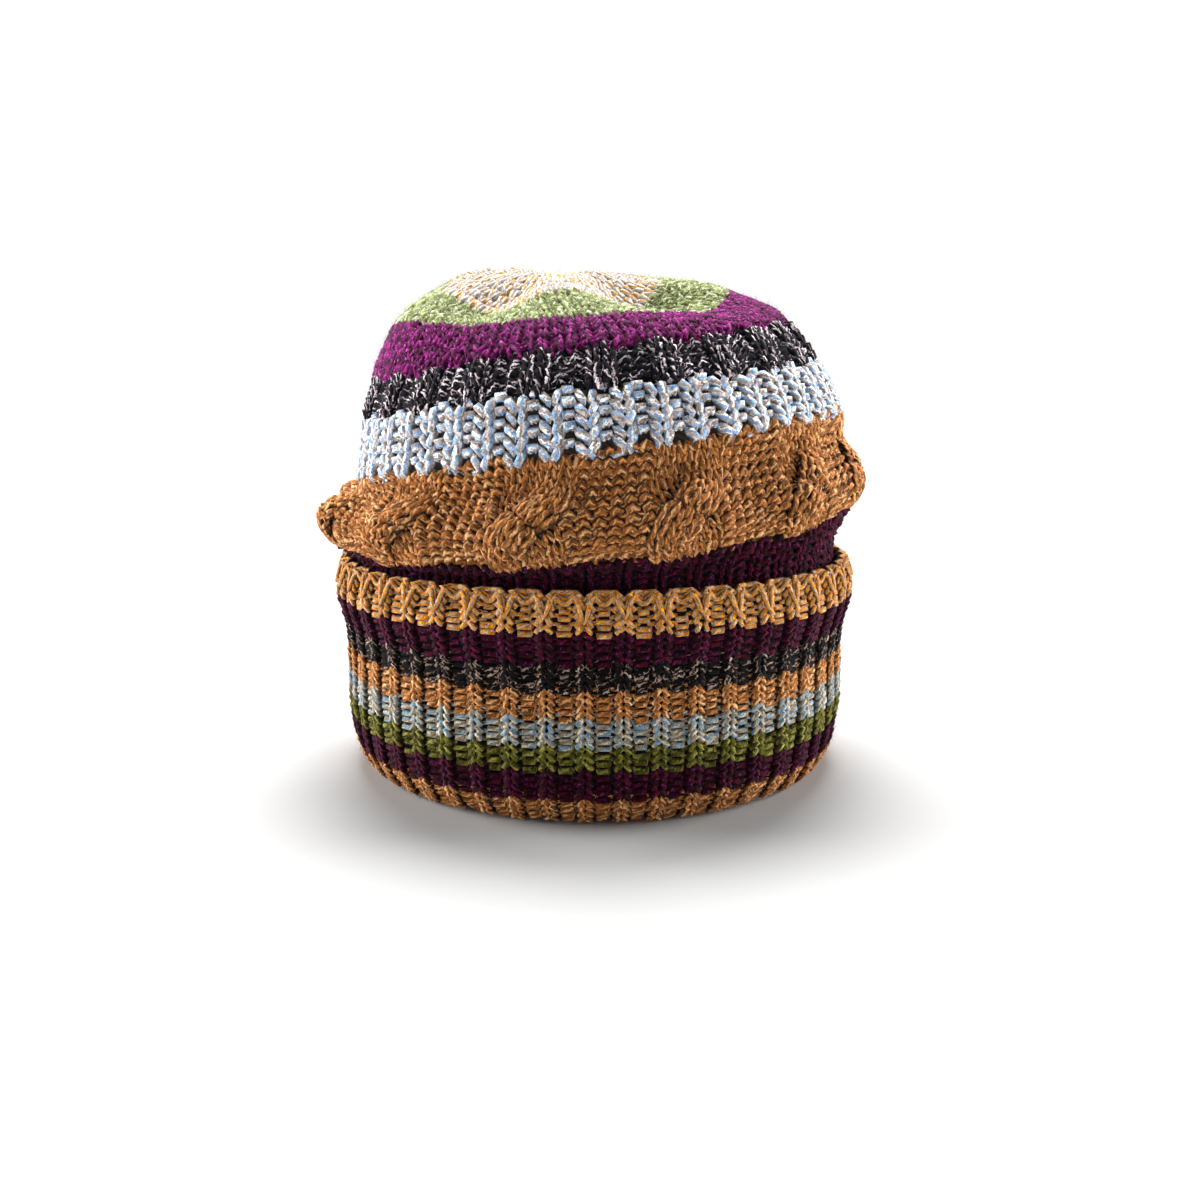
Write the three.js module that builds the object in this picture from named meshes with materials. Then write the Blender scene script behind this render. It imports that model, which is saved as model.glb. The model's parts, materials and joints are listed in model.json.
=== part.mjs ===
// A cable knit cap with a turned-up ribbed cuff, knitted in the round in stripes of seven yarns.
// Millimetres, +Z up, the front faces -Y. The origin is the middle of the ring that the cap rests on.
// Each stripe is one closed solid. A stripe is a loop of rings: up its outside, across, and down its inside.
import * as THREE from "three";

// Driving sizes.
const CUFF_RADIUS = 91; // outside of the turned-up cuff at its waist
const CUFF_HEIGHT = 75.5; // from the surface it rests on to the cast-on edge
const CROWN_RISE = 96; // from the cast-on edge to the top of the gathered tip
const CUFF_WALL = 3.4; // ribbed fabric of the cuff
const BODY_WALL = 3.2; // fabric of the body and crown
const LAYER_GAP = 0.7; // air between the cuff and the body behind it
const YARN_GAP = 0.3; // between the solid of one stripe and the next
const EDGE_ROUND = 1.1; // rounding of the cast-on edge and of the hem fold
const RIB_COUNT = 48; // one knit and one purl stitch each
const RIB_DEPTH = 1.1; // crest to groove
const WIDE_RIB_COUNT = 24; // the charcoal stripe: two knit and two purl stitches each
const WIDE_RIB_DEPTH = 0.9; // crest to groove
const CABLE_COUNT = 12; // six crossed knit stitches and a purl panel each
const CABLE_RELIEF = 2.6; // the crossing above the purl panels
const FOLD_DEPTH = 5; // the deepest gather of the crown

// The outside of the body where the cuff hides it.
const BODY_RADIUS = CUFF_RADIUS - CUFF_WALL - LAYER_GAP;

// Places round the cap, in degrees from the front towards +X.
const CUFF_RIB_ANGLE = 5.6; // one crest of the cuff's ribs
const BODY_RIB_ANGLE = -1.5; // one crest of the ice stripe's ribs
const WIDE_RIB_ANGLE = 4.6; // one crest of the charcoal stripe's ribs
const CABLE_ANGLE = 18; // the middle of one cable
const CABLE_HALF_WIDTH = 8.5; // half the crossing, side to side

// Points round a ring: two a rib where ribs or cables show, half as many elsewhere.
const FINE = 2 * RIB_COUNT;
const PLAIN = RIB_COUNT;

// Levels of the cuff from the rest up. height is a share of CUFF_HEIGHT, radius of CUFF_RADIUS.
const CUFF_LEVELS = [
  { name: "hem_foot", height: 0, radius: 0.918 },
  { name: "hem_side", height: 0.052, radius: 0.948 },
  { name: "hem_top", height: 0.122, radius: 0.975 },
  { name: "plum_lower_top", height: 0.253, radius: 0.994 },
  { name: "green_top", height: 0.359, radius: 1.0 },
  { name: "ice_top", height: 0.48, radius: 0.998 },
  { name: "camel_top", height: 0.593, radius: 0.997 },
  { name: "charcoal_top", height: 0.7, radius: 1.006 },
  { name: "plum_upper_top", height: 0.834, radius: 1.032 },
  { name: "cast_on", height: 1, radius: 1.012 },
];

// Levels of the body from behind the cuff's edge up to the tip. height is a share of CROWN_RISE above the
// cast-on edge, and radius, right, back, tilt and pitch are shares of BODY_RADIUS. right and back move a
// level's middle, tilt lifts its right side and pitch its back, because the crown slouches.
const BODY_LEVELS = [
  { name: "tuck_foot", height: -0.05, radius: 0.991, right: 0, back: 0, tilt: 0, pitch: 0 },
  { name: "tuck_neck", height: 0.055, radius: 0.996, right: 0.004, back: 0, tilt: 0.029, pitch: 0.021 },
  { name: "tuck_top", height: 0.115, radius: 1.05, right: 0.002, back: 0, tilt: 0.081, pitch: 0.052 },
  { name: "cable_roll", height: 0.165, radius: 1.083, right: -0.013, back: 0, tilt: 0.077, pitch: 0.047 },
  { name: "cable_fold", height: 0.232, radius: 1.079, right: -0.013, back: 0, tilt: 0.073, pitch: 0.031 },
  { name: "cable_waist", height: 0.325, radius: 1.035, right: 0.002, back: 0, tilt: 0.099, pitch: 0.008 },
  { name: "cable_top", height: 0.41, radius: 1.005, right: 0.019, back: 0, tilt: 0.138, pitch: -0.013 },
  { name: "ice_top", height: 0.612, radius: 0.935, right: -0.023, back: 0, tilt: 0.12, pitch: 0.015 },
  { name: "charcoal_top", height: 0.755, radius: 0.833, right: -0.075, back: 0.008, tilt: 0.115, pitch: 0.021 },
  { name: "plum_top", height: 0.868, radius: 0.665, right: -0.143, back: 0.021, tilt: 0.031, pitch: 0 },
  { name: "green_top", height: 0.95, radius: 0.429, right: -0.194, back: 0.031, tilt: -0.005, pitch: 0.035 },
  { name: "tip_gather", height: 1.022, radius: 0.188, right: -0.152, back: 0.031, tilt: 0, pitch: 0.016 },
  { name: "tip", height: 1.01, radius: 0, right: -0.12, back: 0.026, tilt: 0, pitch: 0 },
];

// Gathers of the crown. angle and half_width are degrees. out and lift are shares of FOLD_DEPTH, and a
// hollow is negative. level is where the gather is deepest and reach how many levels it runs.
const FOLDS = [
  { angle: -29, half_width: 21, out: -0.35, lift: -1.0, level: 10, reach: 1.1 },
  { angle: 9, half_width: 20, out: 0.1, lift: 0.7, level: 10.2, reach: 0.8 },
  { angle: 58, half_width: 19, out: -0.4, lift: -1.2, level: 10, reach: 1.1 },
  { angle: 88, half_width: 24, out: 0.6, lift: 0.9, level: 9.5, reach: 0.9 },
  { angle: 140, half_width: 45, out: 0.3, lift: 2.2, level: 9.0, reach: 1.5 },
  { angle: 176, half_width: 22, out: -0.3, lift: -0.6, level: 10.4, reach: 1.2 },
  { angle: -128, half_width: 26, out: 0.3, lift: 1.2, level: 9.8, reach: 1.4 },
  { angle: -80, half_width: 26, out: 0.1, lift: 0.3, level: 10, reach: 1.0 },
  { angle: 2, half_width: 35, out: 0, lift: -0.45, level: 9, reach: 0.6 },
  { angle: -12, half_width: 32, out: 0, lift: 0.65, level: 7.4, reach: 1.2 },
  { angle: 90, half_width: 35, out: -0.25, lift: 0, level: 4.6, reach: 1.2 },
];

// Yarns, as seen.
const YARNS = {
  mustard: { color: 0xb58a4a, roughness: 0.95 },
  plum: { color: 0x5a1f55, roughness: 0.95 },
  charcoal: { color: 0x2b282d, roughness: 0.95 },
  camel: { color: 0xb0803f, roughness: 0.95 },
  ice: { color: 0x9db4c2, roughness: 0.95 },
  green: { color: 0x7d913f, roughness: 0.95 },
  oatmeal: { color: 0xe6d3b5, roughness: 0.95 },
};

// The place in a table of the level with a name.
function levelIndex(levels, name) {
  return levels.findIndex((level) => level.name === name);
}

// A smooth curve through one column of a table, at a place between levels.
function along(levels, column, place) {
  const last = levels.length - 1;
  const at = Math.min(Math.max(place, 0), last);
  const start = Math.min(Math.floor(at), last - 1);
  const share = at - start;
  const value = (i) => levels[Math.min(Math.max(i, 0), last)][column];
  const [before, from, to, after] = [start - 1, start, start + 1, start + 2].map(value);
  const bend = 2 * before - 5 * from + 4 * to - after;
  const twist = 3 * (from - to) + after - before;
  return from + 0.5 * share * (to - before + share * (bend + share * twist));
}

// Degrees between two directions, from -180 to 180.
function turnBetween(a, b) {
  return ((((a - b + 180) % 360) + 360) % 360) - 180;
}

function bell(x) {
  return Math.exp(-x * x);
}

// How far the gathers move the crown, out or up by the column that is asked for, at an angle and level.
function foldAt(column, angle, place) {
  const moves = FOLDS.map((fold) => {
    const across = bell(turnBetween(angle, fold.angle) / fold.half_width);
    const upward = bell((place - fold.level) / fold.reach);
    return fold[column] * across * upward;
  });
  return FOLD_DEPTH * moves.reduce((sum, move) => sum + move, 0);
}

// A point of the cuff's outside, without its ribs.
function cuffSurface(angle, place) {
  const radius = CUFF_RADIUS * along(CUFF_LEVELS, "radius", place);
  const turn = THREE.MathUtils.degToRad(angle);
  const height = CUFF_HEIGHT * along(CUFF_LEVELS, "height", place);
  return new THREE.Vector3(radius * Math.sin(turn), -radius * Math.cos(turn), height);
}

// A point of the body's outside, without its ribs and cables. The gathers fade out towards the tip.
function bodySurface(angle, place) {
  const share = (column) => BODY_RADIUS * along(BODY_LEVELS, column, place);
  const turn = THREE.MathUtils.degToRad(angle);
  const fromTip = THREE.MathUtils.smoothstep(BODY_LEVELS.length - 1 - place, 0, 2);
  const radius = share("radius") + fromTip * foldAt("out", angle, place);
  const tilt = share("tilt") * Math.sin(turn) - share("pitch") * Math.cos(turn);
  const height = CUFF_HEIGHT + CROWN_RISE * along(BODY_LEVELS, "height", place);
  return new THREE.Vector3(
    share("right") + radius * Math.sin(turn),
    share("back") - radius * Math.cos(turn),
    height + tilt + fromTip * foldAt("lift", angle, place),
  );
}

// A surface's own directions at a point: out of the fabric, and up along it.
function directions(surface, angle, place, lastPlace) {
  const step = 1e-3;
  const low = Math.max(place - step, 0);
  const high = Math.min(place + step, lastPlace);
  const up = surface(angle, high).sub(surface(angle, low)).normalize();
  const round = surface(angle + 0.05, place).sub(surface(angle - 0.05, place)).normalize();
  return { out: new THREE.Vector3().crossVectors(round, up).normalize(), up };
}

// A ring of points on a part's surface, moved out of the fabric by a distance and up along it by another.
function ring(part, place, count, out, up = 0) {
  const { surface, levels, crest } = part;
  return Array.from({ length: count }, (_, i) => {
    const angle = crest + (360 * i) / count;
    const way = directions(surface, angle, place, levels.length - 1);
    const distance = typeof out === "function" ? out(angle, place) : out;
    return surface(angle, place).addScaledVector(way.out, distance).addScaledVector(way.up, up);
  });
}

// Ribs: crests and grooves that follow each other all the way round, no higher than the surface.
function ribAt(angle, crest, count = RIB_COUNT, depth = RIB_DEPTH) {
  return -0.5 * depth * (1 - Math.cos(THREE.MathUtils.degToRad((angle - crest) * count)));
}

// Cables: a raised panel each, highest where its strands cross.
function cableAt(angle, place) {
  const pitch = 360 / CABLE_COUNT;
  const fromMiddle = turnBetween(angle * CABLE_COUNT, CABLE_ANGLE * CABLE_COUNT) / CABLE_COUNT;
  const across = 1 - THREE.MathUtils.smoothstep(Math.abs(fromMiddle), CABLE_HALF_WIDTH * 0.7, pitch / 2);
  const crossing = levelIndex(BODY_LEVELS, "cable_fold");
  const upward = 0.3 + 0.7 * bell((place - crossing) / 1.1);
  return CABLE_RELIEF * (across * upward - 0.35);
}

// Joins two rings with triangles. One may have twice the points of the other.
function bridge(low, high, triangles) {
  const count = Math.min(low.length, high.length);
  for (let i = 0; i < count; i += 1) {
    const next = (i + 1) % count;
    if (low.length === high.length) {
      triangles.push([low[i], low[next], high[next]], [low[i], high[next], high[i]]);
    } else if (low.length > high.length) {
      const [a, b, c] = [low[2 * i], low[2 * i + 1], low[(2 * i + 2) % low.length]];
      triangles.push([a, b, high[i]], [b, high[next], high[i]], [b, c, high[next]]);
    } else {
      const [a, b, c] = [high[2 * i], high[2 * i + 1], high[(2 * i + 2) % high.length]];
      triangles.push([low[i], b, a], [low[i], low[next], b], [low[next], c, b]);
    }
  }
}

// Closes a ring to one point above it.
function closeTo(lowRing, point, triangles, outward) {
  lowRing.forEach((vertex, i) => {
    const next = lowRing[(i + 1) % lowRing.length];
    triangles.push(outward ? [vertex, next, point] : [next, vertex, point]);
  });
}

// One mesh from triangles of points that share their vertices.
function meshOf(name, triangles, yarn) {
  const places = new Map();
  const positions = [];
  const index = triangles.flat().map((point) => {
    if (!places.has(point)) {
      places.set(point, places.size);
      positions.push(point.x, point.y, point.z);
    }
    return places.get(point);
  });
  const geometry = new THREE.BufferGeometry();
  geometry.setAttribute("position", new THREE.Float32BufferAttribute(positions, 3));
  geometry.setIndex(index);
  geometry.computeVertexNormals();
  const material = new THREE.MeshStandardMaterial({ ...YARNS[yarn], metalness: 0 });
  const mesh = new THREE.Mesh(geometry, material);
  mesh.name = name;
  return mesh;
}

// A closed band from rings that follow its outside up and its inside down.
function band(name, rings, yarn) {
  const triangles = [];
  rings.forEach((lowRing, i) => bridge(lowRing, rings[(i + 1) % rings.length], triangles));
  return meshOf(name, triangles, yarn);
}

// Places spread evenly from one level to another.
function places(from, to, steps) {
  return Array.from({ length: steps + 1 }, (_, i) => from + ((to - from) * i) / steps);
}

// A stripe of one yarn between two levels: its outside carries a relief, its inside is plain.
function stripe(name, yarn, part, from, to, options) {
  const { levels, wall } = part;
  const { relief = 0, steps = 1, inner = 1, count = FINE } = options;
  const low = levelIndex(levels, from);
  const high = levelIndex(levels, to);
  const atEnd = (place) => (place === low ? YARN_GAP / 2 : place === high ? -YARN_GAP / 2 : 0);
  const outside = places(low, high, steps).map((place) => ring(part, place, count, relief, atEnd(place)));
  const inside = places(high, low, inner).map((place) => ring(part, place, PLAIN, -wall, atEnd(place)));
  return band(name, [...outside, ...inside], yarn);
}

const CUFF = { surface: cuffSurface, levels: CUFF_LEVELS, wall: CUFF_WALL, crest: CUFF_RIB_ANGLE };
const BODY = { surface: bodySurface, levels: BODY_LEVELS, wall: BODY_WALL, crest: BODY_RIB_ANGLE };
const cuffRib = (angle) => ribAt(angle, CUFF_RIB_ANGLE);
const bodyRib = (angle) => ribAt(angle, BODY_RIB_ANGLE);
const wideRib = (angle) => ribAt(angle, WIDE_RIB_ANGLE, WIDE_RIB_COUNT, WIDE_RIB_DEPTH);

// A level circle of points about the cap's own axis, in line with the cuff's ribs.
function circle(radius, height, count) {
  return Array.from({ length: count }, (_, i) => {
    const turn = THREE.MathUtils.degToRad(CUFF_RIB_ANGLE + (360 * i) / count);
    return new THREE.Vector3(radius * Math.sin(turn), -radius * Math.cos(turn), height);
  });
}

function cuffRadiusAt(name) {
  return CUFF_RADIUS * CUFF_LEVELS[levelIndex(CUFF_LEVELS, name)].radius;
}

// The five stripes between the hem and the mustard edge, from the bottom up.
function cuffStripes() {
  const rows = [
    ["cuff_plum_lower", "plum", "hem_top", "plum_lower_top"],
    ["cuff_green", "green", "plum_lower_top", "green_top"],
    ["cuff_ice", "ice", "green_top", "ice_top"],
    ["cuff_camel", "camel", "ice_top", "camel_top"],
    ["cuff_charcoal", "charcoal", "camel_top", "charcoal_top"],
    ["cuff_plum_upper", "plum", "charcoal_top", "plum_upper_top"],
  ];
  return rows.map(([name, yarn, from, to]) => stripe(name, yarn, CUFF, from, to, { relief: cuffRib }));
}

// The cast-on edge: its top is rounded over.
function mustardEdge() {
  const { levels } = CUFF;
  const low = levelIndex(levels, "plum_upper_top");
  const top = levelIndex(levels, "cast_on");
  const rimRadius = cuffRadiusAt("cast_on");
  const outside = [
    ring(CUFF, low, FINE, cuffRib, YARN_GAP / 2),
    ring(CUFF, top, FINE, cuffRib, -EDGE_ROUND),
  ];
  const lip = [
    circle(rimRadius - RIB_DEPTH / 2 - EDGE_ROUND, CUFF_HEIGHT, PLAIN),
    circle(rimRadius - CUFF_WALL, CUFF_HEIGHT - EDGE_ROUND, PLAIN),
  ];
  const inside = [ring(CUFF, low, PLAIN, -CUFF_WALL, YARN_GAP / 2)];
  return band("cuff_mustard_edge", [...outside, ...lip, ...inside], "mustard");
}

// The fold at the bottom: one fabric that goes down outside, turns under, and comes up inside.
function hem() {
  const { levels } = CUFF;
  const top = levelIndex(levels, "hem_top");
  const side = levelIndex(levels, "hem_side");
  const topHeight = CUFF_HEIGHT * levels[top].height - YARN_GAP / 2;
  const sideHeight = CUFF_HEIGHT * levels[side].height;
  const outerTop = cuffRadiusAt("hem_top");
  const outerSide = cuffRadiusAt("hem_side");
  const foot = cuffRadiusAt("hem_foot");
  const layers = CUFF_WALL + LAYER_GAP + BODY_WALL;
  const rings = [
    circle(foot - layers + EDGE_ROUND, 0, PLAIN),
    circle(foot, 0, PLAIN),
    ring(CUFF, side, FINE, cuffRib),
    ring(CUFF, top, FINE, cuffRib, -YARN_GAP / 2),
    circle(outerTop - CUFF_WALL, topHeight, PLAIN),
    circle(outerSide - CUFF_WALL, sideHeight, PLAIN),
    circle(outerSide - CUFF_WALL - LAYER_GAP, sideHeight, PLAIN),
    circle(outerTop - CUFF_WALL - LAYER_GAP, topHeight, PLAIN),
    circle(outerTop - layers, topHeight, PLAIN),
    circle(outerSide - layers, sideHeight, PLAIN),
    circle(foot - layers, EDGE_ROUND, PLAIN),
  ];
  return band("cuff_hem", rings, "camel");
}

// The body behind the cuff, from the hem up to the tuck: hidden, so it is a plain sleeve.
function innerBand() {
  const { levels } = BODY;
  const neckRadius = BODY_RADIUS * levels[0].radius;
  const neckHeight = CUFF_HEIGHT + CROWN_RISE * levels[0].height - YARN_GAP / 2;
  const footHeight = CUFF_HEIGHT * CUFF_LEVELS[levelIndex(CUFF_LEVELS, "hem_top")].height + YARN_GAP / 2;
  const bellyHeight = CUFF_HEIGHT * CUFF_LEVELS[levelIndex(CUFF_LEVELS, "green_top")].height;
  const profile = [
    [cuffRadiusAt("hem_top") - CUFF_WALL - LAYER_GAP, footHeight],
    [cuffRadiusAt("green_top") - CUFF_WALL - LAYER_GAP, bellyHeight],
    [neckRadius, neckHeight],
  ];
  const outside = profile.map(([radius, height]) => circle(radius, height, PLAIN));
  const inside = profile.map(([radius, height]) => circle(radius - BODY_WALL, height, PLAIN)).reverse();
  return band("inner_band", [...outside, ...inside], "camel");
}

// The body's stripes from the crease behind the cuff up to the gathered tip.
function bodyStripes() {
  const tuck = { steps: 4, inner: 4, count: PLAIN };
  const cables = { relief: cableAt, steps: 5, inner: 4 };
  const ribs = { relief: bodyRib, steps: 2 };
  const wideRibs = { relief: wideRib, steps: 2 };
  const crown = { steps: 2, inner: 2, count: PLAIN };
  const rows = [
    ["tuck_plum_stripe", "plum", "tuck_foot", "tuck_top", tuck],
    ["cable_band", "camel", "tuck_top", "cable_top", cables],
    ["crown_ice_rib", "ice", "cable_top", "ice_top", ribs],
    ["crown_charcoal_stripe", "charcoal", "ice_top", "charcoal_top", wideRibs],
    ["crown_plum_stripe", "plum", "charcoal_top", "plum_top", crown],
    ["crown_green_stripe", "green", "plum_top", "green_top", crown],
  ];
  return rows.map(([name, yarn, from, to, options]) => stripe(name, yarn, BODY, from, to, options));
}

// The tip: a dome whose outside and inside each close to a point.
function crownTip() {
  const { surface, levels, wall } = BODY;
  const low = levelIndex(levels, "green_top");
  const last = levels.length - 1;
  const steps = [low, low + 0.5, low + 1, low + 1.5];
  const up = (place) => (place === low ? YARN_GAP / 2 : 0);
  const outside = steps.map((place) => ring(BODY, place, PLAIN, 0, up(place)));
  const inside = steps.map((place) => ring(BODY, place, PLAIN, -wall, up(place)));
  const tip = surface(0, last);
  const triangles = [];
  for (let i = 1; i < steps.length; i += 1) {
    bridge(outside[i - 1], outside[i], triangles);
    bridge(inside[i], inside[i - 1], triangles);
  }
  closeTo(outside.at(-1), tip, triangles, true);
  closeTo(inside.at(-1), tip.clone().setZ(tip.z - wall), triangles, false);
  bridge(inside[0], outside[0], triangles);
  return meshOf("crown_tip", triangles, "oatmeal");
}

const group = new THREE.Group();
group.add(hem(), ...cuffStripes(), mustardEdge(), innerBand(), ...bodyStripes(), crownTip());
export default group;
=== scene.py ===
"""A cable knit cap with a turned-up ribbed cuff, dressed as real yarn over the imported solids.

Every stripe of the cap has two pieces. Its ground is the closed fabric that stands for the stripe's solid.
Its stitches are rows of yarn: each row is one closed tube that runs round the cap in loops, bent into knit
and purl stitches, and crossed at the cables. Angles are degrees from the front (-Y) towards +X.
"""

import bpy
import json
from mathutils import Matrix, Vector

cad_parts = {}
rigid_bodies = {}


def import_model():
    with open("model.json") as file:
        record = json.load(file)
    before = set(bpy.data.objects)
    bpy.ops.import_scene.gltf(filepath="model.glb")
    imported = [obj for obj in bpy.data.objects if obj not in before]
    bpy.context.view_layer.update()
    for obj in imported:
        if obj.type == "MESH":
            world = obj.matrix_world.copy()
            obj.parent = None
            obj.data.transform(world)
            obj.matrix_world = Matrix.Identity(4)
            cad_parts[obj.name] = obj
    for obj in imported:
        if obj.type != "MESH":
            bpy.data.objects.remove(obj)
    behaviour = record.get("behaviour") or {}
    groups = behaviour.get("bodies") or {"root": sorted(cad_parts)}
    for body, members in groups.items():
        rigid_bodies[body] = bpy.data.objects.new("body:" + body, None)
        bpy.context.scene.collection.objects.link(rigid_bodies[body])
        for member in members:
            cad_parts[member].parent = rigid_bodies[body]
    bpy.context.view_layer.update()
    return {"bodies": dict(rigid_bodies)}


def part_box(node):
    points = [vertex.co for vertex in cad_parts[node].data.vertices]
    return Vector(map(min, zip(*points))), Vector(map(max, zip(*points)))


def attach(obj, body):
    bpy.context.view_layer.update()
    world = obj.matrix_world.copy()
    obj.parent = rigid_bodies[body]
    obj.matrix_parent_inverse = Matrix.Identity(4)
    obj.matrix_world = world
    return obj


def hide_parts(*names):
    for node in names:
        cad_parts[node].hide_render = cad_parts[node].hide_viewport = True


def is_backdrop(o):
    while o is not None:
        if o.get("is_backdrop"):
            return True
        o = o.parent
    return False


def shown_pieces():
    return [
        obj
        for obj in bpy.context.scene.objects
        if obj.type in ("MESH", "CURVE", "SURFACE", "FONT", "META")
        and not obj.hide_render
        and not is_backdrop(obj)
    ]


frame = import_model()

import json
import logging
import math
from dataclasses import dataclass, field
from enum import Enum
from typing import Callable

import bmesh
import bpy
import numpy as np
from mathutils import Vector

LOG = logging.getLogger("cap")

MM = 0.001
FULL_TURN = 360.0

# How large the unevenness of a yarn's twist and its fibres are. A real wool fibre is about 0.03 mm thick,
# which is too fine to show, so fibres are drawn two to eight times as coarse.
WAVER_SIZE = 1.1 * MM
FIBRE_SIZE = 0.24 * MM
FIBRE_WIDTH = 0.07 * MM

# Streaks in the yarn's colour: how long each is, and how many lie side by side round the yarn.
GAP_STREAK = (3.0 * MM, 3.0)
FINE_STREAK = (1.4 * MM, 14.0)
STRAY_STREAK = (1.1 * MM, 9.0)

# The level of the streaks' noise at which a gap ends and a stray fibre starts, how much a yarn's own share
# moves that level, and how softly it turns. The fine streaks tint the yarn between their two levels.
GAP_LEVEL = 0.22
GAP_GAIN = 0.4
GAP_BLUR = 0.08
STRAY_LEVEL = 0.74
STRAY_GAIN = 0.3
STRAY_BLUR = 0.06
FINE_LEVELS = (0.3, 0.7)

# Wool is matt and scatters light: rough, with little gloss, and a broad sheen. Its IOR of 1.55 is close to
# the shader's own.
WOOL_ROUGHNESS = 0.92
WOOL_GLOSS = 0.12
SHEEN_ROUGHNESS = 0.5

# How far a yarn's twist wavers, in turns, and the share of a ply over which its colour turns to the next.
WAVER_TURNS = 0.35
PLY_BLUR = 0.12

# The painted shade in the grooves between plies, beside that on the yarn's back, and how much of a ply it
# takes. The back is all painted shade at the first of two cosines of the angle round the yarn, and lit from
# the second.
GROOVE_SHARE = 0.65
GROOVE_WIDTH = 0.6
BACK_SHADE = (0.05, -0.85)

# How high the fibres stand beside the plies, how deep both are, and how strongly that shows.
FIBRE_RELIEF = 1.2
YARN_BUMP = 0.22 * MM
YARN_BUMP_STRENGTH = 0.7

# The ground's purl bumps: how many go round, a row's height, how far the rows wave, how deep the bumps are,
# the size of the fibres on them and their height beside them, and how dark it is between them, which is
# painted shade.
GROUND_STITCHES = 96
GROUND_ROW = 2.4 * MM
GROUND_WAVE = 0.6 * MM
GROUND_BUMP = 0.5 * MM
GROUND_BUMP_STRENGTH = 0.8
GROUND_FIBRE = 0.4 * MM
GROUND_RELIEF = 0.8
GROUND_PAINTED_SHADE = 0.55
GROUND_ROUGHNESS = 0.95
GROUND_GLOSS = 0.2

# How much the hand's unevenness changes a loop's neck, height, place, depth and thickness.
HAND_NECK = 0.15
HAND_RISE = 0.06
HAND_PLACE = 0.05
HAND_DEPTH = 0.12
HAND_THICKNESS = 0.07
THICKNESS_RANGE = (0.8, 1.2)

# How far rows wander up and down round the cap, in rows, in slow waves and in quick ones.
SLOW_WAVE = 0.10
QUICK_WAVE = 0.07

# The share of a stitch over which knit turns to purl, and how much thicker a purl stitch's head is.
BLEND_SHARE = 0.22
HEAD_SWELL = 0.2

# Stray fibres: how strongly they lean outwards, how much their lengths differ, how far out their roots are as
# a share of the yarn's radius, and the least height above the floor of a root and a tip.
FUZZ_LEAN = 0.7
FUZZ_SPREAD = 0.45
FUZZ_ROOT = 0.7
ROOT_HEIGHT = 0.2 * MM
TIP_HEIGHT = 0.1 * MM
SQUARE_CM_IN_M2 = 1e4

# Points of a skin that are closer than this become one.
MERGE_DISTANCE = 1e-6

# Sizes of the fabric, in metres, as the solids have them.
CUFF_RADIUS = 91 * MM
CUFF_HEIGHT = 75.5 * MM
CROWN_RISE = 96 * MM
CUFF_WALL = 3.4 * MM
BODY_WALL = 3.2 * MM
LAYER_GAP = 0.7 * MM
YARN_GAP = 0.3 * MM
RIB_DEPTH = 1.1 * MM
WIDE_RIB_DEPTH = 0.9 * MM
CABLE_RELIEF = 2.6 * MM
GATHER_DEPTH = 5 * MM
BODY_RADIUS = CUFF_RADIUS - CUFF_WALL - LAYER_GAP

# How far below the pole the last ring of the ground starts, in levels: the fabric has no direction at it.
POLE_GAP = 0.03

# Repeats of each pattern round the cap, and the middle of one knit group of it.
RIB_COUNT = 48
WIDE_RIB_COUNT = 24
CABLE_COUNT = 12
PLAIN_COUNT = 96
CUFF_RIB_ANGLE = 5.6
BODY_RIB_ANGLE = -1.5
WIDE_RIB_ANGLE = 4.6
CABLE_ANGLE = 18.0

# The cables' relief: half a cable's width in degrees, and the share of it that stands out fully. Going up,
# the relief is full at the fold, fades within its reach in levels to its least share, and part of it lies
# below the fabric's line. Above the fold the fabric is drawn in to a hollow.
CABLE_HALF_WIDTH = 8.5
CABLE_FLANK = 0.7
CABLE_FOLD_PLACE = 4.0
CABLE_FOLD_REACH = 1.1
CABLE_LEAST = 0.3
CABLE_BASE = 0.35
CABLE_HOLLOW = 2.2 * MM
CABLE_HOLLOW_PLACE = 5.25
CABLE_HOLLOW_REACH = 0.55


@dataclass(frozen=True)
class Level:
    """One level of the fabric: shares of the fabric's rise and radius, as the solids have them."""

    name: str
    height: float
    radius: float
    right: float = 0.0
    back: float = 0.0
    tilt: float = 0.0
    pitch: float = 0.0


@dataclass(frozen=True)
class Gather:
    """One gather of the crown: where it is, how wide, and how far it moves the fabric out and up."""

    angle: float
    half_width: float
    out: float
    lift: float
    level: float
    reach: float


CUFF_LEVELS = [
    Level("hem_foot", 0.0, 0.918),
    Level("hem_side", 0.052, 0.948),
    Level("hem_top", 0.122, 0.975),
    Level("plum_lower_top", 0.253, 0.994),
    Level("green_top", 0.359, 1.0),
    Level("ice_top", 0.48, 0.998),
    Level("camel_top", 0.593, 0.997),
    Level("charcoal_top", 0.7, 1.006),
    Level("plum_upper_top", 0.834, 1.032),
    Level("cast_on", 1.0, 1.012),
]

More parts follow.
